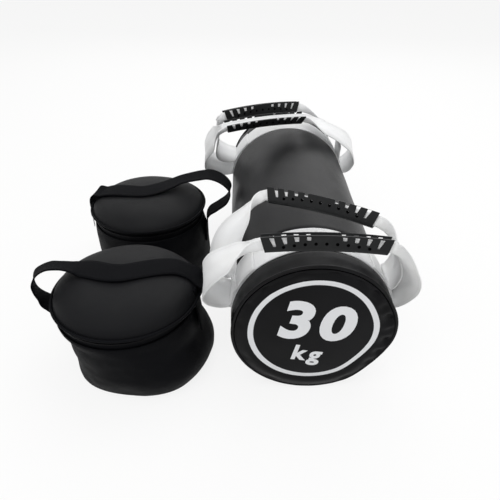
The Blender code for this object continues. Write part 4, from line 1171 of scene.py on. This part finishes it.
def slumped(vertex, place):
    """Lean a filler bag's side towards the long bag; the front one also sags under its lid."""
    share = max(0.0, 1.0 - vertex.co.z / FILLER_TOP)
    if place == FRONT_PLACE:
        height = vertex.co.z
        angle = math.atan2(vertex.co.y, vertex.co.x)
        radius = math.hypot(vertex.co.x, vertex.co.y)
        left, right = sagged(height, angle)
        front = 0.009 * bump_at(turn_gap(math.degrees(angle), -95.0), 0.0, 50.0) * (
            1.0 - smooth_step(height, 0.0, 0.045))
        if radius > 0.070:
            grown = (radius - left + right - front) / radius
            vertex.co.x *= grown
            vertex.co.y *= grown
        over = smooth_step(height, 0.117, 0.1255)
        vertex.co.x = vertex.co.x * (1.0 + (LID_SPREAD - 1.0) * over) + LID_SHIFT * over
        vertex.co.y *= 1.0 + (LID_SPREAD - 1.0) * over
        vertex.co.x += 0.003 * smooth_step(share, 0.1, 0.7)
    vertex.co.x += place[0] + 0.007 * share
    vertex.co.y += place[1] + 0.006 * share


def lid_height(radius, place):
    """Height of a filler bag's domed lid at a distance from its centre."""
    share = min(1.0, radius / LID_NECK)
    if place == FRONT_PLACE:
        return LID_SEAM + LID_DOME * (1.0 - share ** 3.8) ** 0.52
    return LID_SEAM + REAR_LID_DOME * (1.0 - share ** 2.9) ** 0.62


def filler_pieces(name, place, left, right, seed):
    """Cloth side, lid, pipings, zip and strap of one filler bag."""
    body = name + "_filler"

    def cloth(part, bm, node, look=filler_cloth):
        for vertex in bm.verts:
            slumped(vertex, place)
        return finish_piece(body + part, bm, look(), body, (body + node,))

    profile = []
    for height in stretched(0.0042, FILLER_TOP, 40):
        share = min(1.0, height / FILLER_TOP)
        profile.append((FILLER_RADIUS * (0.963 + 0.050 * math.sin(math.pi * share) ** 0.8), height))
    bm = spun(profile, FILLER_STEPS, "Z")
    for vertex in bm.verts:
        x, y, z = vertex.co
        radius = math.hypot(x, y)
        angle = math.atan2(y, x)
        at = Vector((math.cos(angle) * 2.2, math.sin(angle) * 2.2 + seed, z * 26.0))
        share = smooth_step(z, 0.0, 0.02) * (1.0 - smooth_step(z, 0.09, FILLER_TOP))
        wrinkle = (noise.noise(at) * 0.0022 + noise.noise(at * 3.1) * 0.0006) * share
        grown = (radius + wrinkle) / radius
        vertex.co.x *= grown
        vertex.co.y *= grown
    walled(cloth("_cloth_side", bm, "_body"), FILLER_CLOTH)

    cord = LID_RADIUS - FILLER_PIPING
    dome = [(radius, lid_height(radius, place)) for radius, none in disc_outline(LID_NECK, 36)]
    bm = spun(dome + [(cord - 0.0006, LID_SEAM)], FILLER_STEPS, "Z")
    for vertex in bm.verts:
        x, y, z = vertex.co
        share = 1.0 - smooth_step(math.hypot(x, y), LID_NECK * 0.8, LID_NECK)
        vertex.co.z += lump(x * 20.0, y * 20.0, seed) * 0.0016 * share
    walled(cloth("_cloth_lid", bm, "_lid", lid_cloth), FILLER_CLOTH)

    foot = FILLER_FOOT - FILLER_PIPING
    base = FILLER_FOOT - 2 * FILLER_PIPING - GAP
    tape = FILLER_MOUTH - 0.0020 - GAP
    for part, node, outline, closed in (
            ("_rim_cord", "_rim_piping",
             ring(cord, LID_SEAM, FILLER_PIPING, FILLER_PIPING, 12), True),
            ("_base_cord", "_base_piping",
             ring(foot, FILLER_PIPING, FILLER_PIPING, FILLER_PIPING, 12), True),
            ("_base_cloth", "_base",
             [(radius, 0.0004) for radius in stretched(0.0, base, 13)], False),
            ("_tape_cloth", "_zip_tape",
             [(tape, height) for height in stretched(FILLER_TOP - 0.008, 0.1185, 12)]
             + [(LID_NECK - 0.0010, LID_SEAM - 0.0012)], False)):
        cloth(part, spun(outline, FILLER_STEPS, "Z", closed), node)
    for node in ("_zip_slider", "_zip_pull"):
        dress(body + node, zip_metal())
    sand_pouch(body, place)
    dress(body + "_zip_chain", toothed(body, place, False))
    filler_strap(name, place, math.radians(left), math.radians(right))


def sand_pouch(body, place):
    """The sealed pouch of sand inside a filler bag."""
    low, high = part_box(body + "_sand_pouch")
    full = (high[0] - low[0]) / 2 - 0.004
    bottom = low[2] + 0.002
    top = high[2] - 0.012
    lower, upper = sack_corners(full, bottom, 0.014, top, 0.024)
    side = [(full, height) for height in stretched(bottom + 0.020, top - 0.030, 10)]
    bm = spun([(0.0, bottom)] + lower + side + upper + [(0.0, top)], SACK_STEPS, "Z")
    for vertex in bm.verts:
        vertex.co *= 1.0 - 0.012 * (1.0 + noise.noise(vertex.co * 30.0))
        vertex.co.z += bottom * 0.03
        slumped(vertex, place)
    finish_piece(body + "_pouch_cloth", bm, sand_sack(), body, (body + "_sand_pouch",))


def draped(point, place):
    """A point of a filler strap laid down on the lid, where it is close above it."""
    aside = point.x - place[0]
    if place == FRONT_PLACE:
        shift, spread = LID_SHIFT, LID_SPREAD
        loop = smooth_step(-aside, 0.030, 0.072)
    else:
        shift, spread = 0.0, 1.0
        loop = smooth_step(aside, 0.010, 0.060)
    radius = math.hypot(aside - shift, point.y - place[1]) / spread
    surface = lid_height(radius, place) + 0.0022
    over = (1.0 - smooth_step(radius, 0.084, 0.101)) * (1.0 - loop)
    height = rounded_max(point.z, surface, 0.002) if radius < 0.096 else point.z
    above = height - surface
    height -= above * over * (1.0 - smooth_step(above, 0.004, 0.030))
    return Vector((point.x, point.y, height))


def wrapped(lifted, point, place):
    """A point of a strap bent round the bag with the middle of the strap beside it."""
    reach = math.hypot(point.x - place[0], point.y - place[1])
    aside, ahead = lifted.x - place[0], lifted.y - place[1]
    share = (1.0 - smooth_step(point.z, 0.126, 0.142)) * (1.0 - smooth_step(reach, 0.111, 0.122))
    grown = 1.0 + (reach / math.hypot(aside, ahead) - 1.0) * share
    return Vector((place[0] + aside * grown, place[1] + ahead * grown, lifted.z))


def follow_side(point, place):
    """A point of a strap's sewn end moved with the cloth side under it."""
    if place != FRONT_PLACE or point.z > 0.104:
        return point
    angle = math.atan2(point.y - place[1], point.x - place[0])
    left, right = sagged(point.z, angle)
    lean = 0.010 * max(0.0, 1.0 - point.z / FILLER_TOP)
    out = right - left
    return point + Vector((out * math.cos(angle) + lean, out * math.sin(angle), 0.0))


def filler_strap(name, place, left, right):
    """The slack strap of a filler bag with its sewn ends."""
    body = name + "_filler"
    points = [Vector((x + place[0], y + place[1], z)) for x, y, z in STRAP_ROUTES[name]]
    if name == "front":
        for point in points:
            if point.x > place[0] + 0.080:
                point.x += 0.0052 * smooth_step(point.z, 0.116, 0.126) - (
                    0.0055 * bump_at(point.z, 0.109, 0.014))
    drop = Vector((0.0, 0.0, -SEWN_LENGTH))
    line = smooth_line([points[0] + drop] + points + [points[-1] + drop], 6)
    left_wide = Vector((math.sin(left), -math.cos(left), 0.0))
    right_wide = Vector((-math.sin(right), math.cos(right), 0.0))
    width = sizes().filler_web_width
    shares = stretched(-0.5, 0.5, 9)
    sections = []
    last = len(line) - 1
    for index, point in enumerate(line):
        share = index / last
        tangent = (line[min(index + 1, last)] - line[max(index - 1, 0)]).normalized()
        wide = left_wide.lerp(right_wide, smooth_step(share, 0.0, 1.0))
        wide = (wide - tangent * wide.dot(tangent)).normalized()
        inner = wide.cross(tangent)
        if name == "front":
            turn = math.radians(20.0) * bump_at(share, 0.36, 0.12) - (
                math.radians(22.0) * bump_at(share, 0.17, 0.12))
            wide, inner = (wide * math.cos(turn) + inner * math.sin(turn),
                           inner * math.cos(turn) - wide * math.sin(turn))
        section = []
        for spot in shares:
            lifted = point + wide * (spot * width) + inner * 0.0008 * (1.0 - 4 * spot * spot)
            section.append(follow_side(draped(wrapped(lifted, point, place), place), place))
        sections.append(section)
    bm = swept(sections, [width * spot for spot in shares])
    strap = finish_piece(body + "_black_webbing", bm, black_webbing(), body,
                         (body + "_strap", body + "_left_patch", body + "_right_patch"))
    walled(strap, FILLER_WEB_THICKNESS, 0.0)


def sand_bag(node):
    """A stuffed sack, lumpy, and gathered to its tied neck."""
    low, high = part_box(node)
    full = (high[0] - low[0]) / 2
    shoulder = high[1] - 0.020
    lower, upper = sack_corners(full, low[1], 0.016, shoulder, 0.016)
    side = [(full, along) for along in stretched(low[1] + 0.022, shoulder - 0.022, 24)]
    gathered = [(full - 0.016 - (full - 0.0305) * share, shoulder + 0.0015 * share)
                for share in (0.2, 0.4, 0.6, 0.8, 1.0)]
    neck = [(0.0145, shoulder + 0.0055), (0.016, high[1]), (0.0, high[1])]
    bm = spun([(0.0, low[1])] + lower + side + upper + gathered + neck, SACK_STEPS, "Y")
    for vertex in bm.verts:
        x, along, z = vertex.co
        radius = math.hypot(x, z)
        if radius > 0.001:
            dent = 0.0008 * (1.0 + lump(x * 40.0, along * 40.0, z * 40.0))
            near_neck = smooth_step(along, shoulder - 0.030, shoulder - 0.004)
            pleat = 0.0012 * near_neck * (1.0 + math.sin(math.atan2(z, x) * 22.0))
            share = (radius - (dent + pleat) * smooth_step(radius, 0.020, 0.050)) / radius
            x, z = x * share, z * share
        vertex.co = (x, along, settled(x, z, 0.0))
    finish_piece(node + "_sack", bm, sand_sack(), "long_bag", (node,))
    tie_low, tie_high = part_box(node + "_tie")
    cord = ring(0.0165, (tie_low[1] + tie_high[1]) / 2, 0.0010, 0.0014, 10)
    bm = spun(cord, 48, "Y", closed=True)
    bmesh.ops.translate(bm, verts=bm.verts, vec=(0.0, 0.0, AXIS_HEIGHT))
    finish_piece(node + "_cord", bm, zip_plastic(), "long_bag", (node + "_tie",))


def inside_pieces():
    """The foam liner, the sand bags with their ties, and the materials of the far zip."""
    low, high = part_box("foam_liner")
    outer = (high[0] - low[0]) / 2
    inner = outer - 0.006
    stations = stretched(low[1], high[1], 60)
    outline = [(outer, along) for along in stations] + [(inner, along) for along in stations[::-1]]
    bm = spun(outline, SACK_STEPS, "Y", closed=True)
    for vertex in bm.verts:
        x, along, z = vertex.co
        vertex.co = (x, along, settled(x, z, 0.0))
    liner = finish_piece("foam_liner_sheet", bm, foam(), "long_bag", ("foam_liner",))
    for node in ("near_sand_bag", "far_sand_bag"):
        sand_bag(node)
    for node in ("far_zip_slider", "far_zip_pull"):
        dress(node, zip_metal())
    teeth = toothed("far", (0.0, AXIS_HEIGHT), True)
    for node in ("far_zip_outer_row", "far_zip_tail", "far_zip_inner_row"):
        dress(node, teeth)


def stage_floor():
    """A pale floor that looks white and keeps the shadow."""
    bm = bmesh.new()
    bmesh.ops.create_grid(bm, x_segments=1, y_segments=1, size=6.0)
    paint = Paint("studio_floor", 0.9)
    paint.set(Base_Color=(0.86, 0.86, 0.85))
    seen = paint.seen_straight()
    glow = paint.wire("ShaderNodeEmission", None, {"Color": (1.0, 1.0, 1.0), "Strength": 1.0})
    mixed = paint.wire("ShaderNodeMixShader", None,
                       {0: seen * 0.84, 1: Wire(paint, paint.shader.outputs[0]), 2: glow})
    paint.join(paint.tree.nodes["Material Output"].inputs[0], mixed)
    mesh = bpy.data.meshes.new("studio_floor")
    bm.to_mesh(mesh)
    bm.free()
    mesh.materials.append(paint.material)
    floor = bpy.data.objects.new("studio_floor", mesh)
    bpy.context.scene.collection.objects.link(floor)


def stage_light():
    """A white world, dimmer as a light than as it is seen, and soft panels."""
    world = bpy.data.worlds.new("studio")
    nodes = Nodes(world)
    sky = nodes.tree.nodes["Background"]
    nodes.join(sky.inputs["Color"], (1.0, 1.0, 1.0))
    nodes.join(sky.inputs["Strength"], 0.50)
    bright = nodes.wire("ShaderNodeBackground", None, {"Color": (1.0, 1.0, 1.0), "Strength": 1.0})
    mixed = nodes.wire("ShaderNodeMixShader", None,
                       {0: nodes.seen_straight(), 1: Wire(nodes, sky.outputs[0]), 2: bright})
    nodes.join(nodes.tree.nodes["World Output"].inputs[0], mixed)
    bpy.context.scene.world = world
    for name, place, width, depth, power in LIGHTS:
        light = bpy.data.lights.new(name, "AREA")
        light.shape = "RECTANGLE"
        light.size = width
        light.size_y = depth
        light.energy = power
        lamp = bpy.data.objects.new(name, light)
        lamp.location = place
        aim = Vector((-0.05, 0.0, 0.1)) - Vector(place)
        lamp.rotation_euler = aim.to_track_quat("-Z", "Y").to_euler()
        bpy.context.scene.collection.objects.link(lamp)


def stage_camera():
    """The camera at the photograph's place and angle."""
    camera = bpy.data.cameras.new("camera")
    camera.sensor_width = 36.0
    camera.lens = 36.0 * FOCAL_PIXELS / PHOTO_WIDTH
    camera.clip_start = 0.01
    viewer = bpy.data.objects.new("camera", camera)
    bpy.context.scene.collection.objects.link(viewer)
    pitch, yaw, roll = (math.radians(angle) for angle in CAMERA_TURNS)
    ahead = Vector((math.sin(yaw) * math.cos(pitch), math.cos(yaw) * math.cos(pitch),
                    -math.sin(pitch)))
    side = Vector((math.cos(yaw), -math.sin(yaw), 0.0))
    down = ahead.cross(side)
    right = math.cos(roll) * side + math.sin(roll) * down
    below = -math.sin(roll) * side + math.cos(roll) * down
    turn = Matrix((right, -below, -ahead)).transposed().to_4x4()
    viewer.matrix_world = Matrix.Translation(CAMERA_PLACE) @ turn
    bpy.context.scene.camera = viewer
    bpy.context.scene.view_settings.view_transform = "Standard"


class SANDBAG_OT_long_bag(bpy.types.Operator):
    """Make the leather tube and its piping"""

    bl_idname = "sandbag.long_bag"
    bl_label = "Long bag"

    def execute(self, context):
        long_bag_pieces()
        return {"FINISHED"}


class SANDBAG_OT_near_end(bpy.types.Operator):
    """Make the marked end with its ring and weight"""

    bl_idname = "sandbag.near_end"
    bl_label = "Marked end"

    def execute(self, context):
        near_end_pieces()
        return {"FINISHED"}


class SANDBAG_OT_far_end(bpy.types.Operator):
    """Make the zipped end"""

    bl_idname = "sandbag.far_end"
    bl_label = "Zipped end"

    def execute(self, context):
        far_end_pieces()
        return {"FINISHED"}


class SANDBAG_OT_bands(bpy.types.Operator):
    """Make the webbing bands and their sewn patches"""

    bl_idname = "sandbag.bands"
    bl_label = "Bands"

    def execute(self, context):
        band_pieces()
        return {"FINISHED"}


class SANDBAG_OT_handles(bpy.types.Operator):
    """Make the four handles"""

    bl_idname = "sandbag.handles"
    bl_label = "Handles"

    def execute(self, context):
        handle_pieces()
        return {"FINISHED"}


class SANDBAG_OT_fillers(bpy.types.Operator):
    """Make the two filler bags"""

    bl_idname = "sandbag.fillers"
    bl_label = "Filler bags"

    def execute(self, context):
        for row in FILLERS:
            filler_pieces(*row)
        return {"FINISHED"}


class SANDBAG_OT_inside(bpy.types.Operator):
    """Make the inner pieces and give the far zip its materials"""

    bl_idname = "sandbag.inside"
    bl_label = "Inner pieces"

    def execute(self, context):
        inside_pieces()
        return {"FINISHED"}


class SANDBAG_OT_stage(bpy.types.Operator):
    """Make the floor, the lights and the camera"""

    bl_idname = "sandbag.stage"
    bl_label = "Stage"

    def execute(self, context):
        stage_floor()
        stage_light()
        stage_camera()
        return {"FINISHED"}


OPERATORS = (
    SANDBAG_OT_stage, SANDBAG_OT_long_bag, SANDBAG_OT_near_end, SANDBAG_OT_far_end,
    SANDBAG_OT_bands, SANDBAG_OT_handles, SANDBAG_OT_fillers, SANDBAG_OT_inside,
)


class SANDBAG_PT_panel(bpy.types.Panel):
    """Lists the operators, sizes and colours"""

    bl_label = "Sandbag Trainer"
    bl_idname = "SANDBAG_PT_panel"
    bl_space_type = "VIEW_3D"
    bl_region_type = "UI"
    bl_category = "Sandbag"

    def draw(self, context):
        for operator in OPERATORS:
            self.layout.operator(operator.bl_idname)
        for group in (context.scene.sandbag_sizes, context.scene.sandbag_colours):
            for name in group.__annotations__:
                self.layout.prop(group, name)


CLASSES = (BagSizes, BagColours) + OPERATORS + (SANDBAG_PT_panel,)


def register():
    for item in CLASSES:
        bpy.utils.register_class(item)
    bpy.types.Scene.sandbag_sizes = bpy.props.PointerProperty(type=BagSizes)
    bpy.types.Scene.sandbag_colours = bpy.props.PointerProperty(type=BagColours)


def unregister():
    del bpy.types.Scene.sandbag_colours
    del bpy.types.Scene.sandbag_sizes
    for item in reversed(CLASSES):
        bpy.utils.unregister_class(item)


def main():
    register()
    for operator in OPERATORS:
        group, name = operator.bl_idname.split(".")
        getattr(getattr(bpy.ops, group), name)()


if __name__ == "__main__":
    main()
